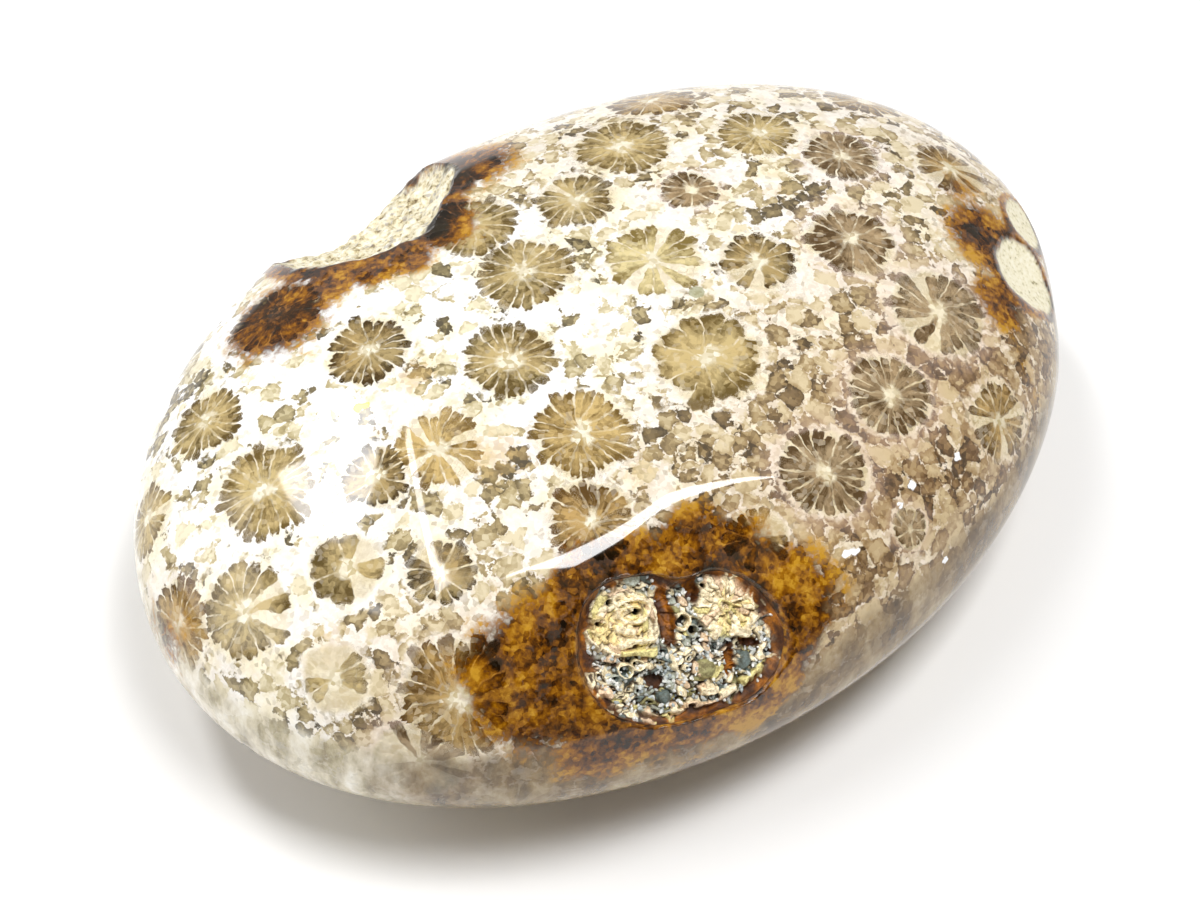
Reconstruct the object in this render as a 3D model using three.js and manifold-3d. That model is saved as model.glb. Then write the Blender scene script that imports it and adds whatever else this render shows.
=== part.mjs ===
// A palm stone of agatised fossil coral: one flat, rounded, hand-polished pebble that lies on a small
// worn flat. Its front shoulder has a shallow dip with an unpolished hollow in it, lined by a crust of
// broken coral cups and small crystals. A rough notch bites into its back rim, and two small chips were
// left unpolished at its right-hand end.
// Millimetres, +Z up. The long axis lies along X, and the origin is the middle of the underside.
import * as THREE from "three";
import { mergeVertices } from "three/addons/utils/BufferGeometryUtils.js";
import Module from "manifold-3d";

// The pebble's own size and roundness
const HALF_LENGTH = 36.0;
const HALF_WIDTH = 26.0;
const TOP_HEIGHT = 13.0; // middle plane to crown
const BOTTOM_HEIGHT = 12.4; // middle plane to the lowest point before the flat is worn
const REST_FLAT_CUT = 0.4; // height worn off the underside, which leaves the flat it lies on
const PLAN_POWER = 2.04; // 2 is an ellipse seen from above
const PROFILE_POWER = 2.3; // 2 is an ellipse seen from the side, more is a flatter crown

// The plan is slightly uneven: a little three-sided and a little four-sided
const THREE_SIDED = { amount: 0.0106, at: THREE.MathUtils.degToRad(13) };
const FOUR_SIDED = { amount: 0.005, at: THREE.MathUtils.degToRad(20) };

// Every place on the stone measures "right" along this heading
const HEADING = THREE.MathUtils.degToRad(-37.3);

// Hollow in the front shoulder: outline radii every 30 degrees, from its right, anticlockwise
const HOLLOW = { x: -10.5, y: -22.3, depth: 2.4, wall: 0.34 };
const HOLLOW_RADII = [7.2, 6.7, 5.9, 4.6, 5.7, 7.4, 7.2, 6.9, 5.8, 4.9, 5.0, 6.3];

// Dip around the hollow: its upper edge is a soft crease, given as (right, up) from the hollow's middle
const DIP = { depth: 0.9, reach: 16.0, soft: 0.03, leftEnd: [-16, -9], rightEnd: [12, 4] };
const DIP_CREASE = [[-14, 4.3], [-10.6, 4.9], [-8, 5.4], [-4, 7.1], [0, 9.5], [4, 10.5], [8, 10.8]];

// Soft fold that runs down the top's left part, where the polish changes face
const FOLD = { x: -20.0, y: -5.9, depth: 0.45, reach: 14.0, soft: 0.03, slant: 0.17 };
const FOLD_LOWER_END = [-8, -4];
const FOLD_UPPER_END = [14, 6];

// Rough notch in the back rim
const NOTCH = { x: -6.3, y: 21.8, depth: 3.0, bowl: 0.9 };
const NOTCH_RADII = [7.4, 7.6, 8.2, 8.5, 8.4, 7.6, 7.0, 7.2, 7.4, 7.7, 7.8, 7.6];
const NOTCH_LUMP = 0.28;
const NOTCH_LUMP_PITCH = 2.6;
const NOTCH_LUMP_STRAY = 1.4; // how far rows of lumps stray, in radians
const NOTCH_LUMP_STRAY_PITCH = 0.6; // against the lumps' own pitch
const NOTCH_LUMP_STRETCH = 0.8;

// Two unpolished chips at the right-hand end: middle and half-sizes as (right, up) from their place
const CHIP_PLACE = { x: 29.1, y: -10.7 };
const CHIP_BOWL = 0.7;
const CHIPS = [
  { right: 0.9, up: 0.4, halfRight: 3.3, halfUp: 3.2, depth: 0.5 },
  { right: 1.5, up: 6.4, halfRight: 2.2, halfUp: 2.3, depth: 0.35 },
];

// The end is flatter around the chips
const END_FLAT = { x: 30.5, y: -10.0, depth: 0.8, halfRight: 6.0, halfUp: 5.0 };

// Crust in the hollow
const CRUST_BODY_SHARE = 0.72; // how far out the crust keeps its full thickness
const CRUST_GAP = 0.45; // clear of the hollow's floor
const CRUST_REACH = 0.91; // share of the hollow's outline that it fills
const CRUST_EDGE = 0.25;
const CRUST_LAYER = 0.55;
const CRUST_STUMPS = [
  { right: -4.0, up: 1.8, halfRight: 2.7, halfUp: 2.2, height: 0.95 },
  { right: 3.4, up: 3.0, halfRight: 2.2, halfUp: 1.8, height: 1.0 },
];
const CRUST_SHARDS = [
  { right: -5.0, up: -2.9, halfRight: 1.5, halfUp: 0.8, height: 0.6 },
  { right: 1.2, up: -3.6, halfRight: 2.4, halfUp: 0.8, height: 0.7 },
  { right: 4.6, up: -2.6, halfRight: 1.9, halfUp: 0.9, height: 0.6 },
];
const CRUST_GROOVE = { right: -0.2, halfWidth: 0.8, lowerEnd: [-2.6, -1.6], depth: 0.6 };
const CRYSTALS = { count: 60, smallest: 0.45, largest: 0.95, lowest: 0.25, highest: 0.75, seed: 11 };
const CRYSTAL_STEEPNESS = 2.2; // more leaves a wider flat on top

// How finely the faces are laid out
const STONE_DETAIL = 16;
const FINER_AT = [
  { x: -10.5, y: -22.3, pull: 0.32, reach: 0.5 },
  { x: -6.3, y: 21.8, pull: 0.22, reach: 0.45 },
  { x: 30.0, y: -9.0, pull: 0.12, reach: 0.3 },
];
const HOLLOW_SECTORS = 48;
const HOLLOW_WALL_RINGS = 4;
const HOLLOW_FLOOR_RINGS = 3;
const CRUST_RINGS = 20;
const CRUST_SECTORS = 54;
const CRUST_FLOOR_RINGS = 7;

// Smooth step from 0 at a to 1 at b
function ease(a, b, x) {
  const t = THREE.MathUtils.clamp((x - a) / (b - a), 0, 1);
  return t * t * (3 - 2 * t);
}

// How far out the plan reaches along a bearing, against a plain oval
function planFactor(bearing) {
  const three = THREE_SIDED.amount * Math.cos(3 * (bearing - THREE_SIDED.at));
  const four = FOUR_SIDED.amount * Math.cos(4 * (bearing - FOUR_SIDED.at));
  return 1 + three + four;
}

// 0 on the stone's axis, 1 on its rim
function planShare(x, y) {
  const k = planFactor(Math.atan2(y, x));
  const along = Math.abs(x / (HALF_LENGTH * k)) ** PLAN_POWER;
  const across = Math.abs(y / (HALF_WIDTH * k)) ** PLAN_POWER;
  return (along + across) ** (PROFILE_POWER / PLAN_POWER);
}

// 1 on the plain pebble's surface, less inside it
function fullness(point) {
  const height = point.z > 0 ? TOP_HEIGHT : BOTTOM_HEIGHT;
  return planShare(point.x, point.y) + Math.abs(point.z / height) ** PROFILE_POWER;
}

// The plain pebble's surface along a direction from its middle
function plainSurface(direction) {
  return direction.clone().multiplyScalar(fullness(direction) ** (-1 / PROFILE_POWER));
}

// Height of the plain pebble's crown over a spot in plan
function crownHeight(x, y) {
  return TOP_HEIGHT * Math.max(1 - planShare(x, y), 0) ** (1 / PROFILE_POWER);
}

// A place on the upper surface, with its own right, up and outward directions
function placeAt({ x, y }) {
  const step = 0.05;
  const slopeX = (crownHeight(x + step, y) - crownHeight(x - step, y)) / (2 * step);
  const slopeY = (crownHeight(x, y + step) - crownHeight(x, y - step)) / (2 * step);
  const middle = new THREE.Vector3(x, y, crownHeight(x, y));
  const out = new THREE.Vector3(-slopeX, -slopeY, 1).normalize();
  const right = new THREE.Vector3(Math.cos(HEADING), Math.sin(HEADING), 0);
  right.addScaledVector(out, -right.dot(out)).normalize();
  const up = new THREE.Vector3().crossVectors(out, right);
  return { middle, right, up, out };
}

// A point's offsets from a place along its three directions
function offsets(place, point) {
  const away = point.clone().sub(place.middle);
  return { right: away.dot(place.right), up: away.dot(place.up), out: away.dot(place.out) };
}

// Closed smooth outline through equally spaced radii
function outlineRadius(radii, bearing) {
  const turn = (bearing / (2 * Math.PI) + 1) % 1;
  const index = Math.floor(turn * radii.length);
  const t = turn * radii.length - index;
  const [a, b, c, d] = [-1, 0, 1, 2].map((k) => radii[(index + k + radii.length) % radii.length]);
  return b + 0.5 * t * (c - a + t * (2 * a - 5 * b + 4 * c - d + t * (3 * (b - c) + d - a)));
}

// 0 in an outline's middle, 1 on the outline
function outlineShare(radii, right, up) {
  return Math.hypot(right, up) / outlineRadius(radii, Math.atan2(up, right));
}

// Smooth curve through a few (across, along) points, level past its ends
function curveThrough(points, across) {
  const x = THREE.MathUtils.clamp(across, points[0][0], points.at(-1)[0]);
  let i = points.findIndex((point) => point[0] >= x) - 1;
  i = THREE.MathUtils.clamp(i, 0, points.length - 2);
  const slope = (k) => {
    const before = points[Math.max(k - 1, 0)];
    const after = points[Math.min(k + 1, points.length - 1)];
    return (after[1] - before[1]) / (after[0] - before[0]);
  };
  const [[x0, y0], [x1, y1]] = [points[i], points[i + 1]];
  const span = x1 - x0;
  const t = (x - x0) / span;
  const start = (2 * t ** 3 - 3 * t ** 2 + 1) * y0 + (t ** 3 - 2 * t ** 2 + t) * span * slope(i);
  const end = (3 * t ** 2 - 2 * t ** 3) * y1 + (t ** 3 - t ** 2) * span * slope(i + 1);
  return start + end;
}

// A dip's section: nothing before its crease, 1 at its deepest a third of the way, 0 again at its end
function dipSection(share, soft) {
  let t = share;
  if (share < soft) {
    t = share > -soft ? (share + soft) ** 2 / (4 * soft) : 0;
  }
  t = Math.min(t, 1);
  const peak = 4 / 27; // of t (1 - t)^2
  return (t * (1 - t) ** 2) / peak;
}

const hollowPlace = placeAt(HOLLOW);
const foldPlace = placeAt(FOLD);
const notchPlace = placeAt(NOTCH);
const chipPlace = placeAt(CHIP_PLACE);
const endPlace = placeAt(END_FLAT);

// Depth of the broad dip around the hollow
function dipDepth({ right, up }) {
  const share = (curveThrough(DIP_CREASE, right) - up) / DIP.reach;
  const ends = ease(...DIP.leftEnd, right) * ease(...DIP.rightEnd, right);
  return DIP.depth * dipSection(share, DIP.soft) * ends;
}

// Depth of the hollow: a crisp rim, steep walls and a level floor
function hollowDepth({ right, up }) {
  const inward = (1 - outlineShare(HOLLOW_RADII, right, up)) / HOLLOW.wall;
  const t = THREE.MathUtils.clamp(inward, 0, 1);
  return HOLLOW.depth * (1 - (1 - t) ** 2);
}

// Depth left of the soft fold
function foldDepth({ right, up }) {
  const share = -(right + FOLD.slant * up) / FOLD.reach;
  const ends = ease(...FOLD_LOWER_END, up) * ease(...FOLD_UPPER_END, up);
  return FOLD.depth * dipSection(share, FOLD.soft) * ends;
}

// Depth of the rough notch, lumps and all
function notchDepth({ right, up }, point) {
  const inside = 1 - Math.min(outlineShare(NOTCH_RADII, right, up), 1) ** 2;
  if (inside <= 0) {
    return 0;
  }
  const turn = (2 * Math.PI) / NOTCH_LUMP_PITCH;
  const stray = NOTCH_LUMP_STRAY * Math.cos(NOTCH_LUMP_STRAY_PITCH * turn * right);
  const wander = Math.sin(turn * point.z + stray);
  const lumps = Math.sin(turn * right + wander) * Math.cos(NOTCH_LUMP_STRETCH * turn * up + wander);
  return NOTCH.depth * inside ** NOTCH.bowl + NOTCH_LUMP * lumps * Math.min(3 * inside, 1);
}

// Depth of the chips
function chipDepth({ right, up }) {
  let depth = 0;
  for (const chip of CHIPS) {
    const share = Math.hypot((right - chip.right) / chip.halfRight, (up - chip.up) / chip.halfUp);
    depth += chip.depth * Math.max(1 - share ** 2, 0) ** CHIP_BOWL;
  }
  return depth;
}

// Depth by which the end is flattened
function endDepth({ right, up }) {
  return END_FLAT.depth * Math.exp(-((right / END_FLAT.halfRight) ** 2) - (up / END_FLAT.halfUp) ** 2);
}

// The finished surface over a point of the plain pebble: each feature presses in along its own direction
// and fades out before it would reach the far side
function carve(plain) {
  const features = [
    { place: hollowPlace, depth: dipDepth, fade: [-9, -6] },
    { place: foldPlace, depth: foldDepth, fade: [-8, -5] },
    { place: notchPlace, depth: notchDepth, fade: [-14, -9] },
    { place: chipPlace, depth: chipDepth, fade: [-9, -6] },
    { place: endPlace, depth: endDepth, fade: [-12, -8] },
  ];
  const carved = plain.clone();
  for (const { place, depth, fade } of features) {
    const at = offsets(place, plain);
    carved.addScaledVector(place.out, -depth(at, plain) * ease(...fade, at.out));
  }
  carved.z = Math.max(carved.z, REST_FLAT_CUT - BOTTOM_HEIGHT);
  return carved;
}

// A closed geometry from corner points and triangles
function closedGeometry(points, triangles) {
  const geometry = new THREE.BufferGeometry();
  geometry.setFromPoints(points);
  geometry.setIndex(triangles.flat());
  geometry.computeVertexNormals();
  return geometry;
}

// The stone: a ball of even triangles, drawn closer together at the features, then pressed to shape
function stoneGeometry() {
  const ball = new THREE.IcosahedronGeometry(1, STONE_DETAIL);
  ball.deleteAttribute("normal");
  ball.deleteAttribute("uv");
  const merged = mergeVertices(ball, 1e-5);
  const oval = new THREE.Vector3(HALF_LENGTH, HALF_WIDTH, (TOP_HEIGHT + BOTTOM_HEIGHT) / 2);
  const finer = FINER_AT.map((spot) => ({
    ...spot,
    towards: new THREE.Vector3(spot.x, spot.y, crownHeight(spot.x, spot.y)).divide(oval).normalize(),
  }));
  const corners = merged.getAttribute("position");
  const point = new THREE.Vector3();
  for (let i = 0; i < corners.count; i++) {
    point.fromBufferAttribute(corners, i).normalize();
    for (const { towards, pull, reach } of finer) {
      const share = pull * Math.exp(-((point.angleTo(towards) / reach) ** 2));
      point.lerp(towards, share).normalize();
    }
    const { x, y, z } = carve(plainSurface(point.multiply(oval).normalize()));
    corners.setXYZ(i, x, y, z);
  }
  merged.computeVertexNormals();
  return merged;
}

// Height of the dipped surface over a spot beside the hollow's middle, found by halving
function surfaceOut(right, up) {
  const spot = hollowPlace.middle.clone();
  spot.addScaledVector(hollowPlace.right, right).addScaledVector(hollowPlace.up, up);
  let low = -HALF_WIDTH / 2;
  let high = HALF_WIDTH / 2;
  for (let i = 0; i < 40; i++) {
    const middle = (low + high) / 2;
    const inside = fullness(spot.clone().addScaledVector(hollowPlace.out, middle)) < 1;
    [low, high] = inside ? [middle, high] : [low, middle];
  }
  return low - dipDepth({ right, up });
}

// A repeatable stream of numbers between 0 and 1
function numberStream(seed) {
  let state = seed;
  return () => {
    state = (state * 1103515245 + 12345) % 2147483648;
    return state / 2147483648;
  };
}

// Blunt six-sided crystals scattered over the hollow
function scatterCrystals() {
  const next = numberStream(CRYSTALS.seed);
  return Array.from({ length: CRYSTALS.count }, () => {
    const bearing = 2 * Math.PI * next();
    const reach = Math.sqrt(next()) * outlineRadius(HOLLOW_RADII, bearing);
    return {
      right: reach * Math.cos(bearing),
      up: reach * Math.sin(bearing),
      radius: THREE.MathUtils.lerp(CRYSTALS.smallest, CRYSTALS.largest, next()),
      height: THREE.MathUtils.lerp(CRYSTALS.lowest, CRYSTALS.highest, next()),
      turn: Math.PI * next(),
    };
  });
}

const crystals = scatterCrystals();

// How far a rounded mound of the crust stands up at a spot
function moundRise(mound, right, up) {
  const away = Math.hypot((right - mound.right) / mound.halfRight, (up - mound.up) / mound.halfUp);
  return mound.height * Math.max(1 - away ** 4, 0) ** 0.5;
}

// How far a crystal stands up at a spot: six flat flanks and a flat top
function crystalRise(crystal, right, up) {
  const [x, y] = [(right - crystal.right) / crystal.radius, (up - crystal.up) / crystal.radius];
  const towardsSides = [0, 1, 2].map((side) => {
    const facing = crystal.turn + (side * Math.PI) / 3;
    return Math.abs(x * Math.cos(facing) + y * Math.sin(facing));
  });
  const inside = CRYSTAL_STEEPNESS * (1 - Math.max(...towardsSides));
  return crystal.height * THREE.MathUtils.clamp(inside, 0, 1);
}

// The crust's thickness: coral stumps, shards and crystals on a thin layer, with a groove between lobes
function crustThickness(right, up) {
  const share = outlineShare(HOLLOW_RADII, right, up) / CRUST_REACH;
  const body = 1 - ease(CRUST_BODY_SHARE, 1, share);
  const mounds = [...CRUST_STUMPS, ...CRUST_SHARDS].map((mound) => moundRise(mound, right, up));
  const growths = crystals.map((crystal) => crystalRise(crystal, right, up));
  const beside = Math.abs(right - CRUST_GROOVE.right) / CRUST_GROOVE.halfWidth;
  const groove = CRUST_GROOVE.depth * Math.exp(-(beside ** 2)) * ease(...CRUST_GROOVE.lowerEnd, up);
  const mass = CRUST_LAYER + Math.max(...mounds) + Math.max(...growths) - groove;
  return CRUST_EDGE + body * Math.max(mass - CRUST_EDGE, 0);
}

// Height of the hollow's floor and walls
function hollowOut(right, up) {
  return surfaceOut(right, up) - hollowDepth({ right, up });
}

// One ring of points round the hollow's middle, at a share of its outline, each as far out as asked
function ringAround(share, sectors, outAt) {
  return Array.from({ length: sectors }, (_, sector) => {
    const bearing = (2 * Math.PI * sector) / sectors;
    const reach = share * outlineRadius(HOLLOW_RADII, bearing);
    const [right, up] = [reach * Math.cos(bearing), reach * Math.sin(bearing)];
    const point = hollowPlace.middle.clone();
    point.addScaledVector(hollowPlace.right, right).addScaledVector(hollowPlace.up, up);
    return point.addScaledVector(hollowPlace.out, outAt(right, up));
  });
}

// A closed solid from rings that run from its top's middle out to its edge and in again underneath
function ringedGeometry(topPole, rings, floorPole) {
  const sectors = rings[0].length;
  const points = [...rings.flat(), topPole, floorPole];
  const corner = (ring, sector) => ring * sectors + (sector % sectors);
  const [top, floor] = [points.length - 2, points.length - 1];
  const last = rings.length - 1;
  const triangles = [];
  for (let s = 0; s < sectors; s++) {
    triangles.push([top, corner(0, s), corner(0, s + 1)]);
    for (let r = 0; r < last; r++) {
      triangles.push([corner(r, s), corner(r + 1, s), corner(r + 1, s + 1)]);
      triangles.push([corner(r, s), corner(r + 1, s + 1), corner(r, s + 1)]);
    }
    triangles.push([corner(last, s), floor, corner(last, s + 1)]);
  }
  return closedGeometry(points, triangles);
}

// Evenly spaced shares from just off the middle out to the limit
function sharesUpTo(limit, count) {
  return Array.from({ length: count }, (_, k) => (limit * (k + 1)) / count);
}

// What is taken out of the stone: the hollow, and the space over it
function hollowSpaceGeometry() {
  const over = (right, up) => surfaceOut(right, up) + HOLLOW.depth;
  const ring = (share, outAt) => ringAround(share, HOLLOW_SECTORS, outAt);
  const walls = sharesUpTo(1, HOLLOW_WALL_RINGS).map((k) => 1 - HOLLOW.wall * (1 - k));
  const floor = sharesUpTo(walls[0], HOLLOW_FLOOR_RINGS).slice(0, -1);
  const under = [...floor, ...walls].reverse().map((share) => ring(share, hollowOut));
  const rings = [ring(1, over), ...under];
  return ringedGeometry(ring(0, over)[0], rings, ring(0, hollowOut)[0]);
}

// The crust that lines the hollow
function crustGeometry() {
  const under = (right, up) => hollowOut(right, up) + CRUST_GAP;
  const over = (right, up) => under(right, up) + crustThickness(right, up);
  const ring = (share, outAt) => ringAround(share, CRUST_SECTORS, outAt);
  const rings = [
    ...sharesUpTo(CRUST_REACH, CRUST_RINGS).map((share) => ring(share, over)),
    ...sharesUpTo(CRUST_REACH, CRUST_FLOOR_RINGS).reverse().map((share) => ring(share, under)),
  ];
  return ringedGeometry(ring(0, over)[0], rings, ring(0, under)[0]);
}

// One solid with another taken out of it
function cutFrom(geometry, tool) {
  const solid = (shape) => {
    const vertProperties = new Float32Array(shape.getAttribute("position").array);
    const triVerts = new Uint32Array(shape.getIndex().array);
    return new wasm.Manifold(new wasm.Mesh({ numProp: 3, vertProperties, triVerts }));
  };
  const { vertProperties, triVerts } = solid(geometry).subtract(solid(tool)).getMesh();
  const cut = new THREE.BufferGeometry();
  cut.setAttribute("position", new THREE.BufferAttribute(vertProperties, 3));
  cut.setIndex(new THREE.BufferAttribute(triVerts, 1));
  cut.computeVertexNormals();
  return cut;
}

const wasm = await Module();
wasm.setup();

const agatisedCoral = new THREE.MeshStandardMaterial({ color: 0xd9cba8, roughness: 0.16, metalness: 0 });
const drusyCrust = new THREE.MeshStandardMaterial({ color: 0xbdbba6, roughness: 0.7, metalness: 0 });

const stone = new THREE.Mesh(cutFrom(stoneGeometry(), hollowSpaceGeometry()), agatisedCoral);
stone.name = "coral_stone";
const crust = new THREE.Mesh(crustGeometry(), drusyCrust);
crust.name = "hollow_crust";

// Centre the stone over the origin and stand it on its flat
const box = new THREE.Box3().setFromObject(stone);
const middle = box.getCenter(new THREE.Vector3());
const palmStone = new THREE.Group();
palmStone.position.set(-middle.x, -middle.y, -box.min.z);
palmStone.add(stone, crust);

export default palmStone;
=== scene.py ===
"""Dresses the fossil coral palm stone: a polished pebble of agatised coral with a crusted hollow.

Shapes are worked out in millimetres about the pebble's middle and are turned to metres in the frame.
"""
import logging
import math
from collections.abc import Sequence
from dataclasses import dataclass, field
from enum import Enum

import bpy
import numpy as np
from mathutils import Matrix, Quaternion, Vector


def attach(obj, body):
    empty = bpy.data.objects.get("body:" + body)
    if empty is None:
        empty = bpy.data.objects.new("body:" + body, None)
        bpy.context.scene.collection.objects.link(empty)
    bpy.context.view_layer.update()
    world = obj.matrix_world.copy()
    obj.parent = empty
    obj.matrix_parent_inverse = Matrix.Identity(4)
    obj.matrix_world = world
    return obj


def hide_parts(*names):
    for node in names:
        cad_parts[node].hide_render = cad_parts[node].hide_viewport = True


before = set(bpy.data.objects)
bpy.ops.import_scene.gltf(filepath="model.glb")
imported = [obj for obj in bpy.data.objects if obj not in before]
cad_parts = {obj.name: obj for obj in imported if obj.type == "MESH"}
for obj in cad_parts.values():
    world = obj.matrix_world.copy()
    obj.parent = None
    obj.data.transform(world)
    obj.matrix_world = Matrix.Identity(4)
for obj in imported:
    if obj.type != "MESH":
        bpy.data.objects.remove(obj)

log = logging.getLogger("palm_stone")

MM = 0.001
SEED = 20
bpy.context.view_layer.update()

Array = np.ndarray
Pair = tuple[float, float]
Stops = tuple[tuple[float, str], ...]


def ease(low: float, high: float, value: Array) -> Array:
    """Smooth step.

    Args:
        low: the value that gives 0.
        high: the value that gives 1.
        value: what is stepped.

    Returns:
        Numbers from 0 to 1.
    """
    t = np.clip((value - low) / (high - low), 0, 1)
    return t * t * (3 - 2 * t)


def unit(vector: Array) -> Array:
    """The same direction at length 1."""
    return vector / np.linalg.norm(vector, axis=-1, keepdims=True)


def outline_radius(radii: Sequence[float], bearing: Array) -> Array:
    """Reach of a closed smooth outline.

    Args:
        radii: its reach at equal turns, anticlockwise from its right.
        bearing: the bearings asked for, in radians.

    Returns:
        The reach at each bearing.
    """
    known = np.asarray(radii)
    turn = (bearing / (2 * math.pi) % 1) * len(known)
    index = np.floor(turn).astype(int)
    t = turn - index
    a, b, c, d = (known[(index + k) % len(known)] for k in (-1, 0, 1, 2))
    return b + 0.5 * t * (c - a + t * (2 * a - 5 * b + 4 * c - d + t * (3 * (b - c) + d - a)))


def curve_through(points: Sequence[Pair], across: Array) -> Array:
    """Smooth curve through a few (across, along) points, level past its ends.

    Args:
        points: the points, in order.
        across: where the curve is read.

    Returns:
        The curve's value at each place.
    """
    x, y = np.array(points).T
    index = np.arange(len(x))
    after, before = np.minimum(index + 1, len(x) - 1), np.maximum(index - 1, 0)
    slope = (y[after] - y[before]) / (x[after] - x[before])
    at = np.clip(across, x[0], x[-1])
    i = np.clip(np.searchsorted(x, at) - 1, 0, len(x) - 2)
    span = x[i + 1] - x[i]
    t = (at - x[i]) / span
    start = (2 * t**3 - 3 * t**2 + 1) * y[i] + (t**3 - 2 * t**2 + t) * span * slope[i]
    return start + (3 * t**2 - 2 * t**3) * y[i + 1] + (t**3 - t**2) * span * slope[i + 1]


def dip_section(share: Array, soft: Array | float) -> Array:
    """A dip's cross-section: nothing before its crease, 1 at its deepest, 0 again at its end.

    Args:
        share: how far across the dip, from 0 at its crease to 1 at its end.
        soft: how far the crease is rounded, as a share.

    Returns:
        The depth, as a share of the deepest.
    """
    rounded = np.where(share > -soft, (share + soft) ** 2 / (4 * soft), 0)
    t = np.clip(np.where(share < soft, rounded, share), 0, 1)
    to_one = 27 / 4  # t (1 - t)^2 is at most 4 / 27
    return to_one * t * (1 - t) ** 2


def lattice_noise(points: Array, pitch: float, seed: int) -> Array:
    """Smooth noise in space.

    Args:
        points: where it is read, in millimetres.
        pitch: the size of its lumps, in millimetres.
        seed: which noise.

    Returns:
        Numbers from -1 to 1.
    """
    scaled = points / pitch + 100.0
    cell = np.floor(scaled).astype(np.int64)
    t = scaled - cell
    t = t * t * (3 - 2 * t)
    total = np.zeros(len(points))
    for corner in np.ndindex(2, 2, 2):
        x, y, z = (cell + np.array(corner)).T
        mixed = (x * 73856093) ^ (y * 19349663) ^ (z * 83492791) ^ (seed * 2654435761)
        mixed = (mixed ^ (mixed >> 13)) * 1274126177 & 0x7FFFFFFF
        mixed = (mixed ^ (mixed >> 16)) & 0xFFFF
        weight = np.prod(np.where(corner, t, 1 - t), axis=1)
        total += weight * (mixed / 32767.5 - 1)
    return total


def rough_noise(points: Array, pitch: float, seed: int, layers: int = 3) -> Array:
    """Noise with finer and finer lumps on it.

    Args:
        points: where it is read, in millimetres.
        pitch: the size of its largest lumps.
        seed: which noise.
        layers: how many sizes of lump.

    Returns:
        Numbers about -1 to 1.
    """
    total = np.zeros(len(points))
    for layer in range(layers):
        total += lattice_noise(points, pitch / 2**layer, seed + layer) / 2**layer
    return total / (2 - 2 ** (1 - layers))


@dataclass(frozen=True)
class Place:
    """A spot on the pebble with its own right, up and outward directions."""

    middle: Array
    right: Array
    up: Array
    out: Array

    def offsets(self, points: Array) -> tuple[Array, Array, Array]:
        """How far right, up and out of this place the points are."""
        away = points - self.middle
        return away @ self.right, away @ self.up, away @ self.out

    def point(self, right: Array, up: Array, out: Array) -> Array:
        """The point at these distances from this place."""
        steps = np.stack([right, up, out], axis=-1)
        return self.middle + steps @ np.stack([self.right, self.up, self.out])


@dataclass(frozen=True)
class Pebble:
    """The plain pebble, a slightly uneven rounded lens, about its own middle."""

    half_length: float = 36.0
    half_width: float = 26.0
    top: float = 13.0
    bottom: float = 12.4
    flat_cut: float = 0.4
    plan_power: float = 2.04
    profile_power: float = 2.3
    three_sided: Pair = (0.0106, math.radians(13))
    four_sided: Pair = (0.005, math.radians(20))
    heading: float = math.radians(-37.3)

    def plan_share(self, x: Array, y: Array) -> Array:
        """0 on the pebble's axis and 1 on its rim.

        Args:
            x: places along the pebble.
            y: places across it.

        Returns:
            The share at each place.
        """
        bearing = np.arctan2(y, x)
        k = 1 + self.three_sided[0] * np.cos(3 * (bearing - self.three_sided[1]))
        k = k + self.four_sided[0] * np.cos(4 * (bearing - self.four_sided[1]))
        along = np.abs(x / (self.half_length * k)) ** self.plan_power
        across = np.abs(y / (self.half_width * k)) ** self.plan_power
        return (along + across) ** (self.profile_power / self.plan_power)

    def fullness(self, points: Array) -> Array:
        """1 on the plain surface and less inside it.

        Args:
            points: points about the pebble's middle.

        Returns:
            The fullness at each point.
        """
        x, y, z = points[..., 0], points[..., 1], points[..., 2]
        height = np.where(z > 0, self.top, self.bottom)
        return self.plan_share(x, y) + np.abs(z / height) ** self.profile_power

    def surface(self, directions: Array) -> Array:
        """The plain surface along directions from the middle."""
        return directions * (self.fullness(directions) ** (-1 / self.profile_power))[..., None]

    def normals(self, points: Array) -> Array:
        """Outward directions at points of the plain surface.

        Args:
            points: the points.

        Returns:
            A direction for each point.
        """
        step = 0.01
        slopes = []
        for axis in np.eye(3) * step:
            slopes.append(self.fullness(points + axis) - self.fullness(points - axis))
        return unit(np.stack(slopes, axis=-1))

    def crown(self, x: float, y: float) -> float:
        """Height of the crown over a spot in plan."""
        return self.top * max(1 - float(self.plan_share(x, y)), 0) ** (1 / self.profile_power)

    def place(self, x: float, y: float) -> Place:
        """The place on the upper surface over a spot in plan."""
        middle = np.array([x, y, self.crown(x, y)])
        return self.place_on(middle)

    def place_on(self, middle: Array) -> Place:
        """The place at a point of the plain surface.

        Args:
            middle: the point.

        Returns:
            The place, with the photograph's right laid along the surface.
        """
        out = self.normals(middle)
        heading = np.array([math.cos(self.heading), math.sin(self.heading), 0])
        right = unit(heading - out * (heading @ out))
        return Place(middle, right, np.cross(out, right), out)

    def out_over(self, place: Place, right: Array, up: Array) -> Array:
        """How far out of a place the plain surface lies beside it, found by halving.

        Args:
            place: the place.
            right: how far right of it.
            up: how far up of it.

        Returns:
            The distance out at each spot.
        """
        low = np.full(np.shape(right), -self.half_width / 2)
        high = -low
        halvings = 30
        for _ in range(halvings):
            middle = (low + high) / 2
            inside = self.fullness(place.point(right, up, middle)) < 1
            low, high = np.where(inside, middle, low), np.where(inside, high, middle)
        return low


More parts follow.
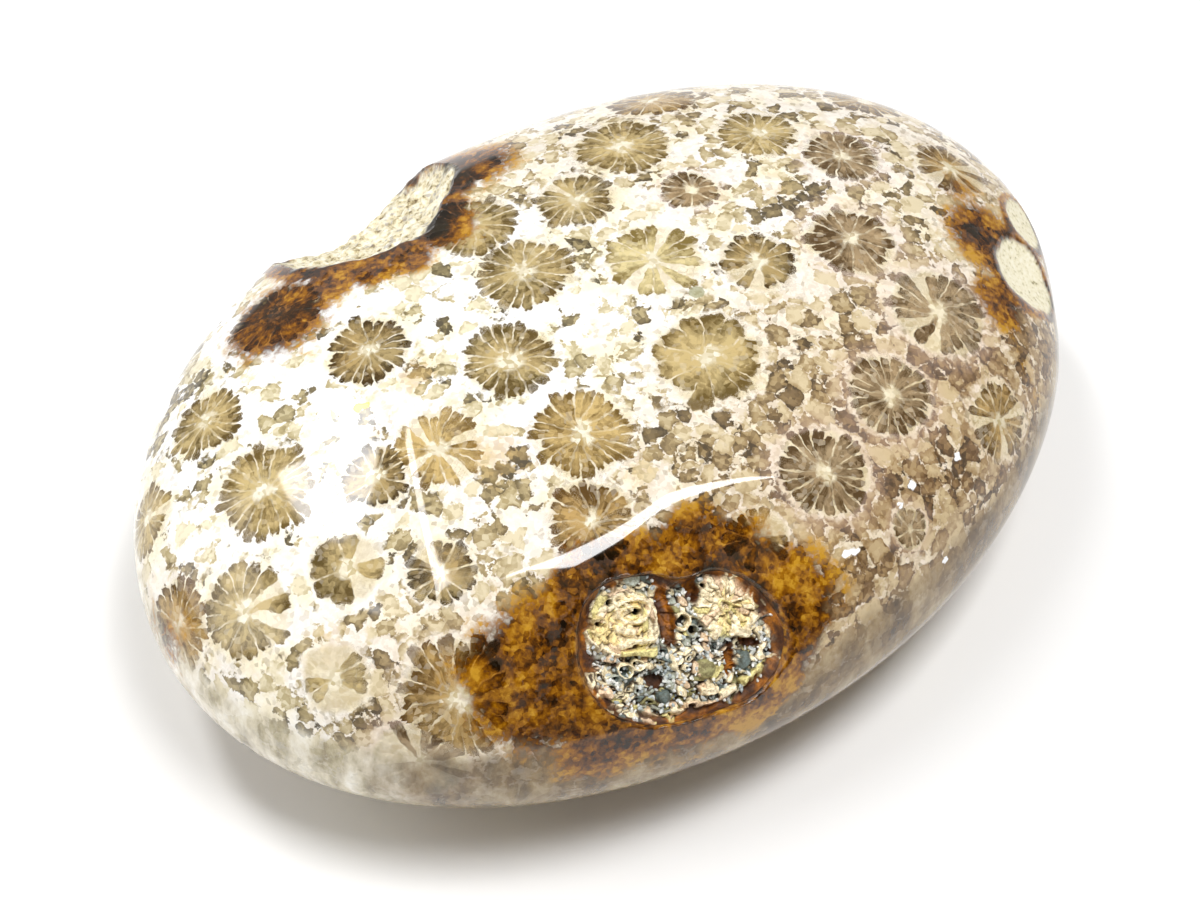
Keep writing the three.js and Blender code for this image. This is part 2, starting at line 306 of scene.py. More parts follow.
@dataclass(frozen=True)
class Outline:
    """A closed outline drawn round a place."""

    radii: tuple[float, ...]

    def share(self, right: Array, up: Array) -> Array:
        """0 in its middle and 1 on it."""
        return np.hypot(right, up) / outline_radius(self.radii, np.arctan2(up, right))


@dataclass(frozen=True)
class Dip:
    """The broad dip round the hollow, whose upper edge is a soft crease."""

    depth: float = 0.9
    reach: float = 16.0
    soft: Pair = (0.085, 0.04)
    soft_between: Pair = (-12, 4)
    left_end: Pair = (-16, -9)
    right_end: Pair = (12, 4)
    crease: tuple[Pair, ...] = (
        (-14, 4.3), (-10.6, 4.9), (-8, 5.4), (-4, 7.1), (0, 9.5), (4, 10.5), (8, 10.8),
    )

    def depth_at(self, right: Array, up: Array) -> Array:
        """Depth of the dip beside the hollow's middle.

        Args:
            right: places right of the hollow's middle.
            up: places up of it.

        Returns:
            The depth at each place.
        """
        share = (curve_through(self.crease, right) - up) / self.reach
        ends = ease(*self.left_end, right) * ease(*self.right_end, right)
        at_left, at_right = self.soft
        soft = at_left + (at_right - at_left) * ease(*self.soft_between, right)
        return self.depth * dip_section(share, soft) * ends


@dataclass(frozen=True)
class Hollow:
    """The unpolished hollow: a crisp rim, steep walls and a level floor."""

    spot: Pair = (-10.5, -22.3)
    depth: float = 2.4
    wall: float = 0.34
    outline: Outline = Outline((7.2, 6.7, 5.9, 4.6, 5.7, 7.4, 7.2, 6.9, 5.8, 4.9, 5.0, 6.3))

    def depth_at(self, right: Array, up: Array) -> Array:
        """Depth of the hollow beside its middle."""
        t = np.clip((1 - self.outline.share(right, up)) / self.wall, 0, 1)
        return self.depth * (1 - (1 - t) ** 2)


@dataclass(frozen=True)
class Fold:
    """The soft fold where the polish changes face on the left of the top."""

    spot: Pair = (-20.0, -5.9)
    depth: float = 0.45
    reach: float = 14.0
    soft: float = 0.03
    slant: float = 0.17
    lower_end: Pair = (-8, -4)
    upper_end: Pair = (14, 6)

    def depth_at(self, right: Array, up: Array) -> Array:
        """Depth left of the fold.

        Args:
            right: places right of its spot.
            up: places up of it.

        Returns:
            The depth at each place.
        """
        share = -(right + self.slant * up) / self.reach
        ends = ease(*self.lower_end, up) * ease(*self.upper_end, up)
        return self.depth * dip_section(share, self.soft) * ends


@dataclass(frozen=True)
class Notch:
    """The rough notch in the back rim."""

    spot: Pair = (-6.3, 21.8)
    depth: float = 3.0
    bowl: float = 0.9
    lump: float = 0.28
    lump_pitch: float = 2.6
    lump_stray: float = 1.4
    lump_stray_pitch: float = 0.6
    lump_stretch: float = 0.8
    outline: Outline = Outline((7.4, 7.6, 8.2, 8.5, 8.4, 7.6, 7.0, 7.2, 7.4, 7.7, 7.8, 7.6))

    def depth_at(self, right: Array, up: Array, points: Array) -> Array:
        """Depth of the notch, lumps and all.

        Args:
            right: places right of its spot.
            up: places up of it.
            points: the same places in space, for the lumps.

        Returns:
            The depth at each place.
        """
        inside = 1 - np.minimum(self.outline.share(right, up), 1) ** 2
        turn = 2 * math.pi / self.lump_pitch
        stray = self.lump_stray * np.cos(self.lump_stray_pitch * turn * right)
        wander = np.sin(turn * points[..., 2] + stray)
        lumps = np.sin(turn * right + wander) * np.cos(self.lump_stretch * turn * up + wander)
        return self.depth * inside**self.bowl + self.lump * lumps * np.minimum(3 * inside, 1)


@dataclass(frozen=True)
class Chip:
    """One unpolished chip, placed from the chips' common place."""

    right: float
    up: float
    half_right: float
    half_up: float
    depth: float
    bowl: float = 0.7

    def share(self, right: Array, up: Array) -> Array:
        """0 in its middle and 1 on its edge."""
        return np.hypot((right - self.right) / self.half_right, (up - self.up) / self.half_up)

    def depth_at(self, right: Array, up: Array) -> Array:
        """Depth of the chip."""
        return self.depth * np.maximum(1 - self.share(right, up) ** 2, 0) ** self.bowl


@dataclass(frozen=True)
class StoneShape:
    """The whole stone: the pebble with everything that is pressed or cut into it."""

    pebble: Pebble = Pebble()
    dip: Dip = Dip()
    hollow: Hollow = Hollow()
    fold: Fold = Fold()
    notch: Notch = Notch()
    chip_spot: Pair = (29.1, -10.7)
    chips: tuple[Chip, ...] = (Chip(0.9, 0.4, 3.3, 3.2, 0.5), Chip(1.5, 6.4, 2.2, 2.3, 0.35))
    end_spot: Pair = (30.5, -10.0)
    end_depth: float = 0.8
    end_half: Pair = (6.0, 5.0)
    rim_gather: float = 0.22
    notch_grain: float = 0.22
    notch_drift: float = 0.8
    chip_drift: float = 0.55
    hollow_drift: float = 0.28
    drift_pitch: float = 2.4
    wall_grain: float = 0.10
    chip_grain: float = 0.03
    grain_pitch: float = 0.9
    rim: Pair = (1.0, 0.9)
    hollow_rim: Pair = (1.03, 0.94)
    near_side: Pair = (-9, -6)
    fold_side: Pair = (-8, -5)
    notch_side: Pair = (-14, -9)
    end_side: Pair = (-12, -8)
    hollow_floor: float = -7
    notch_floor: float = -12
    chip_floor: float = -8
    far: float = 9

    def drift(self, plain: Array, right: Array, up: Array, amount: float) -> tuple[Array, Array]:
        """Places moved about a little, so that a smooth outline comes out irregular.

        Args:
            plain: points of the plain pebble.
            right: places right of a feature's middle.
            up: places up of it.
            amount: how far they may move, in millimetres.

        Returns:
            The moved places.
        """
        moved_right = right + amount * rough_noise(plain, self.drift_pitch, SEED + 2)
        return moved_right, up + amount * rough_noise(plain, self.drift_pitch, SEED + 8)

    def shares(self, plain: Array) -> dict[str, Array]:
        """How near each point of the plain pebble is to the middle of each bare patch.

        Args:
            plain: points of the plain pebble.

        Returns:
            For the hollow, the notch and the chips, 0 in the middle, 1 on the edge and more outside.
        """
        hollow_right, hollow_up, hollow_out = self.pebble.place(*self.hollow.spot).offsets(plain)
        notch_right, notch_up, notch_out = self.pebble.place(*self.notch.spot).offsets(plain)
        chip_right, chip_up, chip_out = self.pebble.place(*self.chip_spot).offsets(plain)
        hollow_right, hollow_up = self.drift(plain, hollow_right, hollow_up, self.hollow_drift)
        notch_right, notch_up = self.drift(plain, notch_right, notch_up, self.notch_drift)
        chip_right, chip_up = self.drift(plain, chip_right, chip_up, self.chip_drift)
        hollow = self.hollow.outline.share(hollow_right, hollow_up)
        notch = self.notch.outline.share(notch_right, notch_up)
        chips = np.min([chip.share(chip_right, chip_up) for chip in self.chips], axis=0)
        return {
            "hollow": np.where(hollow_out > self.hollow_floor, hollow, self.far),
            "notch": np.where(notch_out > self.notch_floor, notch, self.far),
            "chips": np.where(chip_out > self.chip_floor, chips, self.far),
        }

    def gather(self, plain: Array, place: Place, outline: Outline) -> Array:
        """Draws points that lie close to an outline towards it, so that its rim is crisp.

        Args:
            plain: points of the plain pebble.
            place: the outline's place.
            outline: the outline.

        Returns:
            The points, still on the plain pebble.
        """
        right, up, out = place.offsets(plain)
        share = outline.share(right, up)
        beyond = share - 1
        near = (np.abs(beyond) < self.rim_gather) & (out > -self.pebble.half_width / 3)
        drawn = np.sign(beyond) * beyond**2 / self.rim_gather - beyond
        step = np.where(near, drawn / np.maximum(share, 0.1), 0)[:, None]
        moved = plain + step * (right[:, None] * place.right + up[:, None] * place.up)
        return self.pebble.surface(unit(moved))

    def carve(self, plain: Array) -> Array:
        """The finished surface over points of the plain pebble.

        Args:
            plain: points of the plain pebble.

        Returns:
            The points, pressed in by each feature along that feature's own direction.
        """
        carved = plain.copy()
        grain = rough_noise(plain, self.grain_pitch, SEED + 1)

        place = self.pebble.place(*self.hollow.spot)
        right, up, out = place.offsets(plain)
        depth = self.dip.depth_at(right, up)
        right, up = self.drift(plain, right, up, self.hollow_drift)
        share = self.hollow.outline.share(right, up)
        depth = depth + self.hollow.depth_at(right, up)
        depth = depth + self.wall_grain * grain * ease(*self.hollow_rim, share)
        carved -= (depth * ease(*self.near_side, out))[:, None] * place.out

        place = self.pebble.place(*self.fold.spot)
        right, up, out = place.offsets(plain)
        carved -= (self.fold.depth_at(right, up) * ease(*self.fold_side, out))[:, None] * place.out

        place = self.pebble.place(*self.notch.spot)
        right, up, out = place.offsets(plain)
        right, up = self.drift(plain, right, up, self.notch_drift)
        inside = ease(*self.rim, self.notch.outline.share(right, up))
        depth = self.notch.depth_at(right, up, plain) + self.notch_grain * grain * inside
        carved -= (depth * ease(*self.notch_side, out))[:, None] * place.out

        place = self.pebble.place(*self.chip_spot)
        right, up, out = place.offsets(plain)
        right, up = self.drift(plain, right, up, self.chip_drift)
        for chip in self.chips:
            inside = ease(*self.rim, chip.share(right, up))
            depth = chip.depth_at(right, up) + self.chip_grain * grain * inside
            carved -= (depth * ease(*self.near_side, out))[:, None] * place.out

        place = self.pebble.place(*self.end_spot)
        right, up, out = place.offsets(plain)
        half_right, half_up = self.end_half
        depth = self.end_depth * np.exp(-((right / half_right) ** 2) - (up / half_up) ** 2)
        carved -= (depth * ease(*self.end_side, out))[:, None] * place.out

        floor = self.pebble.flat_cut - self.pebble.bottom
        carved[:, 2] = np.maximum(carved[:, 2], floor)
        return carved


@dataclass(frozen=True)
class PhotoView:
    """The photograph's own camera, about the pebble's middle, for its 1200 by 900 pixels."""

    azimuth: float = math.radians(-37.3)
    elevation: float = math.radians(51.0)
    distance: float = 230.0
    focal: float = 3250.0
    width: int = 1200
    height: int = 900
    centre_column: float = 610.4
    centre_row: float = 426.5
    search: float = 45.0
    search_steps: int = 2400

    def axes(self) -> tuple[Array, Array, Array]:
        """The camera's right, up and backward directions.

        Returns:
            The three directions.
        """
        sin_a, cos_a = math.sin(self.azimuth), math.cos(self.azimuth)
        sin_e, cos_e = math.sin(self.elevation), math.cos(self.elevation)
        back = np.array([sin_a * cos_e, -cos_a * cos_e, sin_e])
        right = np.array([cos_a, sin_a, 0.0])
        return right, np.cross(back, right), back

    def place(self, pebble: Pebble, column: float, row: float) -> Place:
        """The place on the pebble that a pixel of the photograph shows.

        Args:
            pebble: the pebble.
            column: the pixel's column.
            row: the pixel's row.

        Returns:
            The nearest place that the pixel's ray meets, or passes closest to.
        """
        right, up, back = self.axes()
        sight = -back + right * (column - self.centre_column) / self.focal
        sight = unit(sight - up * (row - self.centre_row) / self.focal)
        reach = np.linspace(self.distance - self.search, self.distance + self.search, self.search_steps)
        points = back * self.distance + reach[:, None] * sight
        fullness = pebble.fullness(points)
        inside = np.flatnonzero(fullness < 1)
        index = inside[0] if len(inside) else int(np.argmin(fullness))
        return pebble.place_on(pebble.surface(unit(points[index])))


class Tone(Enum):
    """Colour families of the coral cups: how pale, how golden and how pink they are."""

    DARK_OLIVE = (0.10, 0.15, 0.0)
    OLIVE = (0.32, 0.30, 0.0)
    KHAKI = (0.42, 0.50, 0.0)
    GOLDEN = (0.38, 0.95, 0.0)
    BROWN = (0.18, 0.80, 0.2)
    PALE = (0.80, 0.65, 0.0)
    TAUPE = (0.35, 0.35, 0.9)


@dataclass(frozen=True)
class Cup:
    """A coral cup seen in the photograph."""

    column: float
    row: float
    across: float
    tone: Tone
    petals: int = 20
    clear: float = 1.0


@dataclass(frozen=True)
class Mark:
    """A patch of the photograph where the stone takes more or less of some tint."""

    column: float
    row: float
    reach: float
    amount: float


CUPS = (
    Cup(368, 350, 6.3, Tone.DARK_OLIVE, 19),
    Cup(510, 360, 6.5, Tone.OLIVE, 22),
    Cup(583, 433, 7.1, Tone.GOLDEN, 24),
    Cup(525, 272, 6.9, Tone.OLIVE, 22),
    Cup(655, 260, 7.0, Tone.PALE, 18, 0.85),
    Cup(757, 262, 5.6, Tone.DARK_OLIVE, 14, 0.9),
    Cup(850, 240, 6.6, Tone.TAUPE, 18),
    Cup(890, 395, 6.3, Tone.TAUPE, 20),
    Cup(825, 472, 6.4, Tone.TAUPE, 19),
    Cup(205, 423, 5.9, Tone.OLIVE, 20),
    Cup(265, 488, 7.3, Tone.KHAKI, 23),
    Cup(707, 358, 8.0, Tone.KHAKI, 12),
    Cup(938, 312, 7.4, Tone.TAUPE, 18, 0.8),
    Cup(757, 133, 6.1, Tone.KHAKI, 20),
    Cup(840, 156, 5.8, Tone.TAUPE, 18),
    Cup(950, 168, 5.9, Tone.BROWN, 16, 0.8),
    Cup(245, 612, 7.0, Tone.OLIVE, 16, 0.85),
    Cup(178, 625, 6.4, Tone.BROWN, 18, 0.9),
    Cup(375, 475, 5.0, Tone.DARK_OLIVE, 15),
    Cup(437, 448, 6.2, Tone.GOLDEN, 20, 0.8),
    Cup(440, 572, 4.6, Tone.DARK_OLIVE, 14, 0.8),
    Cup(592, 520, 6.0, Tone.BROWN, 20, 0.9),
    Cup(345, 565, 5.4, Tone.OLIVE, 9, 0.9),
    Cup(575, 200, 6.1, Tone.OLIVE, 18, 0.85),
    Cup(622, 146, 7.4, Tone.KHAKI, 20),
    Cup(690, 190, 4.2, Tone.TAUPE, 14),
    Cup(472, 226, 6.9, Tone.OLIVE, 20),
    Cup(275, 315, 6.9, Tone.BROWN, 18),
    Cup(335, 678, 4.9, Tone.KHAKI, 13, 0.6),
    Cup(458, 698, 8.2, Tone.BROWN, 22, 0.95),
    Cup(420, 762, 6.5, Tone.TAUPE, 18, 0.7),
    Cup(910, 528, 3.0, Tone.TAUPE, 10),
    Cup(650, 101, 6.6, Tone.BROWN, 18),
    Cup(862, 101, 6.2, Tone.BROWN, 18),
    Cup(462, 168, 5.6, Tone.BROWN, 16),
    Cup(147, 520, 5.4, Tone.KHAKI, 18, 0.9),
    Cup(1000, 420, 5.6, Tone.BROWN, 18, 0.6),
    Cup(760, 540, 4.6, Tone.BROWN, 14, 0.6),
)

# Where the honey stain lies
AMBER_MARKS = (
    Mark(545, 680, 4.6, 1.15),
    Mark(600, 580, 2.9, 1.0),
    Mark(640, 562, 2.2, 0.9),
    Mark(700, 550, 3.2, 0.9),
    Mark(745, 560, 3.0, 0.8),
    Mark(790, 600, 4.2, 0.8),
    Mark(690, 650, 7.0, 1.0),
    Mark(600, 750, 3.4, 0.8),
    Mark(278, 318, 3.8, 1.0),
    Mark(330, 282, 2.0, 1.0),
    Mark(370, 270, 1.8, 0.9),
    Mark(410, 258, 1.6, 1.0),
    Mark(440, 225, 2.6, 1.0),
    Mark(470, 165, 3.4, 0.9),
    Mark(990, 235, 3.2, 1.0),
    Mark(1003, 300, 2.6, 0.8),
    Mark(960, 190, 2.6, 0.5),
    Mark(165, 640, 4.0, 0.5),
    Mark(1030, 380, 3.6, 0.35),
)

# Where the ground is tan instead of white
TAN_MARKS = (
    Mark(330, 400, 12.0, 0.12),
    Mark(500, 330, 9.0, 0.10),
    Mark(250, 560, 8.0, 0.15),
    Mark(600, 330, 6.0, 0.15),
    Mark(480, 520, 7.0, 0.40),
    Mark(700, 440, 7.0, 0.55),
    Mark(760, 350, 6.0, 0.65),
    Mark(700, 220, 7.0, 0.30),
    Mark(780, 180, 7.0, 0.35),
    Mark(900, 260, 6.0, 0.55),
    Mark(900, 470, 9.0, 1.00),
    Mark(1000, 400, 7.0, 1.00),
    Mark(780, 520, 6.0, 0.90),
    Mark(420, 700, 8.0, 0.70),
    Mark(620, 780, 9.0, 1.00),
    Mark(820, 680, 9.0, 1.00),
    Mark(180, 650, 6.0, 0.60),
    Mark(280, 745, 6.0, 0.10),
    Mark(430, 775, 3.5, 0.9),
    Mark(600, 150, 6.0, 0.45),
)
HIDDEN_TAN = 0.7  # on the sides that the photograph doesn't show

# Single flecks, a yellow one and a grey-green one, and painted highlights: small white glints near the right
# flank, painted as white colour
YELLOW_MARKS = (Mark(358, 406, 0.42, 1.0), Mark(366, 404, 0.30, 1.0))
MOSS_MARKS = (Mark(697, 292, 0.55, 1.0),)
PAINTED_GLINT_MARKS = (
    Mark(846, 554, 0.30, 1.0),
    Mark(856, 551, 0.30, 1.0),
    Mark(912, 485, 0.34, 1.0),
    Mark(957, 457, 0.32, 1.0),
    Mark(945, 560, 0.28, 1.0),
    Mark(900, 505, 0.24, 1.0),
)

# Soft golden patches
GOLDEN_MARKS = (
    Mark(415, 375, 1.6, 0.7),
    Mark(500, 455, 2.4, 0.7),
    Mark(455, 405, 1.4, 0.5),
    Mark(385, 425, 1.8, 0.5),
    Mark(320, 430, 1.6, 0.4),
    Mark(770, 190, 1.8, 0.5),
    Mark(640, 470, 1.6, 0.5),
    Mark(520, 640, 2.0, 0.6),
    Mark(330, 640, 2.0, 0.5),
)


@dataclass
class CupField:
    """Coral cups over the whole stone: those of the photograph, and more on its hidden sides."""

    pebble: Pebble
    view: PhotoView
    spacing: float = 7.3
    tries: int = 5000
    spread: tuple[float, float, float] = (36.0, 26.0, 20.0)
    radius_range: Pair = (2.7, 3.6)
    petal_range: tuple[int, int] = (15, 24)
    clear_range: Pair = (0.7, 1)
    seen_from: float = 0.12
    lean: float = 0.35
    fan: Pair = (0.012, 0.016)
    depth_cost: float = 0.06
    deep: float = 4
    deep_cost: float = 0.12
    middles: list[Array] = field(default_factory=list)
    rights: list[Array] = field(default_factory=list)
    ups: list[Array] = field(default_factory=list)
    radii: list[float] = field(default_factory=list)
    looks: list[tuple[float, ...]] = field(default_factory=list)

    def add(self, place: Place, radius: float, look: tuple[float, ...], turn: float) -> None:
        """Adds one cup, which grew along a direction between straight up or down and straight out.

        Args:
            place: where it meets the surface.
            radius: its radius.
            look: how pale, golden and pink it is, its petals, and how clear it is.
            turn: how far it is turned about its own axis, in radians.
        """
        upright = math.copysign(1, place.out[2])
        fan = unit(np.array([place.middle[0] * self.fan[0], place.middle[1] * self.fan[1], upright]))
        steep = self.lean * (1 - abs(place.out[2]))
        axis = unit(place.out * (1 - steep) + fan * steep)
        right = unit(place.right * math.cos(turn) + place.up * math.sin(turn))
        right = unit(right - axis * (right @ axis))
        self.middles.append(place.middle)
        self.rights.append(right)
        self.ups.append(np.cross(axis, right))
        self.radii.append(radius)
        self.looks.append(look)

    def fill(self) -> None:
        """Places the photograph's cups, then spreads more where the photograph doesn't reach."""
        dice = np.random.default_rng(SEED)
        for cup in CUPS:
            place = self.view.place(self.pebble, cup.column, cup.row)
            look = (*cup.tone.value, cup.petals, cup.clear)
            self.add(place, cup.across / 2, look, dice.uniform(0, 2 * math.pi))
        back = self.view.axes()[2]
        tones = list(Tone)
        for _ in range(self.tries):
            direction = unit(dice.normal(size=3) * np.array(self.spread))
            place = self.pebble.place_on(self.pebble.surface(direction))
            towards = unit(back * self.view.distance - place.middle)
            tone = tones[dice.integers(len(tones))]
            look = (*tone.value, float(dice.integers(*self.petal_range)), dice.uniform(*self.clear_range))
            radius = dice.uniform(*self.radius_range)
            turn = dice.uniform(0, 2 * math.pi)
            apart = np.linalg.norm(np.array(self.middles) - place.middle, axis=1)
            if place.out @ towards < self.seen_from and apart.min() > self.spacing:
                self.add(place, radius, look, turn)

    def nearest(self, points: Array) -> Array:
        """The cup that each point belongs to.

        Args:
            points: points of the stone.

        Returns:
            Each point's cup, by number.
        """
        best = np.full(len(points), np.inf)
        chosen = np.zeros(len(points), int)
        for index, middle in enumerate(self.middles):
            away = points - middle
            sideways = np.hypot(away @ self.rights[index], away @ self.ups[index])
            along = np.abs(away @ np.cross(self.rights[index], self.ups[index]))
            share = sideways / self.radii[index] + self.depth_cost * along
            share = share + self.deep_cost * np.maximum(along - self.deep, 0)
            closer = share < best
            best[closer] = share[closer]
            chosen[closer] = index
        return chosen


@dataclass(frozen=True)
class TintField:
    """A tint spread over the stone from marks in the photograph."""

    pebble: Pebble
    view: PhotoView
    marks: tuple[Mark, ...]
    elsewhere_weight: float = 0.05

    def away(self, mark: Mark, points: Array) -> Array:
        """How far the points are from a mark, as a share of its reach."""
        middle = self.view.place(self.pebble, mark.column, mark.row).middle
        return np.linalg.norm(points - middle, axis=1) / mark.reach

    def strongest(self, points: Array) -> Array:
        """The most that any mark gives at each point, which is half its amount at its reach.

        Args:
            points: points of the stone.

        Returns:
            The amount at each point.
        """
        total = np.zeros(len(points))
        for mark in self.marks:
            total = np.maximum(total, mark.amount * np.exp(-(self.away(mark, points) ** 2) * math.log(2)))
        return total

    def blended(self, points: Array, elsewhere: float) -> Array:
        """The marks' amounts, blended by nearness.

        Args:
            points: points of the stone.
            elsewhere: the amount far from every mark.

        Returns:
            The amount at each point.
        """
        weight = np.full(len(points), self.elsewhere_weight)
        total = weight * elsewhere
        for mark in self.marks:
            near = np.exp(-(self.away(mark, points) ** 2))
            weight = weight + near
            total = total + near * mark.amount
        return total / weight


def geodesic(frequency: int) -> tuple[Array, Array]:
    """A ball of even triangles.

    Args:
        frequency: how many parts each edge of the icosahedron is cut into.

    Returns:
        Points on the unit sphere, and triangles.
    """
    golden = (1 + 5**0.5) / 2
    corners = []
    for first in (-1, 1):
        for second in (-golden, golden):
            corners += [(0, first, second), (first, second, 0), (second, 0, first)]
    corners = np.array(corners, float)
    apart = np.linalg.norm(corners[:, None] - corners[None], axis=-1)
    just_over_edge = 2.1  # the icosahedron's edges are 2 long
    near = apart < just_over_edge
    faces = []
    for a in range(12):
        for b in range(a + 1, 12):
            for c in range(b + 1, 12):
                if near[a, b] and near[b, c] and near[a, c]:
                    outward = np.cross(corners[b] - corners[a], corners[c] - corners[a]) @ corners[a] > 0
                    faces.append((a, b, c) if outward else (a, c, b))
    rows = [(i, j) for i in range(frequency + 1) for j in range(frequency + 1 - i)]
    index = {key: k for k, key in enumerate(rows)}
    local = []
    for i, j in rows:
        if i + j < frequency:
            local.append((index[i, j], index[i + 1, j], index[i, j + 1]))
        if i + j < frequency - 1:
            local.append((index[i + 1, j], index[i + 1, j + 1], index[i, j + 1]))
    weights = np.array(rows) / frequency
    points = []
    triangles = []
    for number, (a, b, c) in enumerate(faces):
        towards_b = weights[:, :1] * (corners[b] - corners[a])
        towards_c = weights[:, 1:] * (corners[c] - corners[a])
        points.append(corners[a] + towards_b + towards_c)
        triangles.append(np.array(local) + number * len(rows))
    points = np.concatenate(points)
    _, first, back = np.unique(np.round(points, 6), axis=0, return_index=True, return_inverse=True)
    return unit(points[first]), back.reshape(-1)[np.concatenate(triangles)]


def mesh_from(name: str, points: Array, triangles: Array) -> bpy.types.Object:
    """A smooth-shaded object from points in metres.

    Args:
        name: the object's name.
        points: its corners.
        triangles: its faces.

    Returns:
        The object, at the origin.
    """
    mesh = bpy.data.meshes.new(name)
    mesh.from_pydata(points.tolist(), [], triangles.tolist())
    mesh.polygons.foreach_set("use_smooth", np.ones(len(triangles), bool))
    mesh.update()
    piece = bpy.data.objects.new(name, mesh)
    bpy.context.scene.collection.objects.link(piece)
    return piece


def write_attribute(piece: bpy.types.Object, name: str, domain: str, values: Array) -> None:
    """Stores three numbers for each point or corner of a piece.

    Args:
        piece: the piece.
        name: the attribute's name.
        domain: POINT or CORNER.
        values: the numbers.
    """
    attribute = piece.data.attributes.new(name, "FLOAT_VECTOR", domain)
    attribute.data.foreach_set("vector", values.astype(np.float32).ravel())


def linear(code: str) -> tuple[float, float, float, float]:
    """An sRGB hex colour as a linear colour.

    Args:
        code: its six hex digits.

    Returns:
        Red, green, blue and full alpha.
    """
    values = [int(code[i : i + 2], 16) / 255 for i in (0, 2, 4)]
    red, green, blue = (v / 12.92 if v <= 0.04045 else ((v + 0.055) / 1.055) ** 2.4 for v in values)
    return red, green, blue, 1.0


@dataclass(frozen=True)
class Signal:
    """A value inside a material, which takes part in sums."""

    graph: "Graph"
    socket: bpy.types.NodeSocket

    def __add__(self, other: "Signal | float") -> "Signal":
        """The sum."""
        return self.graph.add("Math", self, other, operation="ADD")

    def __sub__(self, other: "Signal | float") -> "Signal":
        """The difference."""
        return self.graph.add("Math", self, other, operation="SUBTRACT")

    def __rsub__(self, other: float) -> "Signal":
        """The difference from a number."""
        return self.graph.add("Math", other, self, operation="SUBTRACT")

    def __mul__(self, other: "Signal | float") -> "Signal":
        """The product."""
        return self.graph.add("Math", self, other, operation="MULTIPLY")

    def __truediv__(self, other: "Signal | float") -> "Signal":
        """The quotient."""
        return self.graph.add("Math", self, other, operation="DIVIDE")

    def __abs__(self) -> "Signal":
        """The size without its sign."""
        return self.graph.add("Math", self, operation="ABSOLUTE")

    def swing(self, width: float) -> "Signal":
        """A number from 0 to 1 turned to a swing to both sides of zero, this wide in all."""
        return (self - 0.5) * width

    __radd__ = __add__
    __rmul__ = __mul__


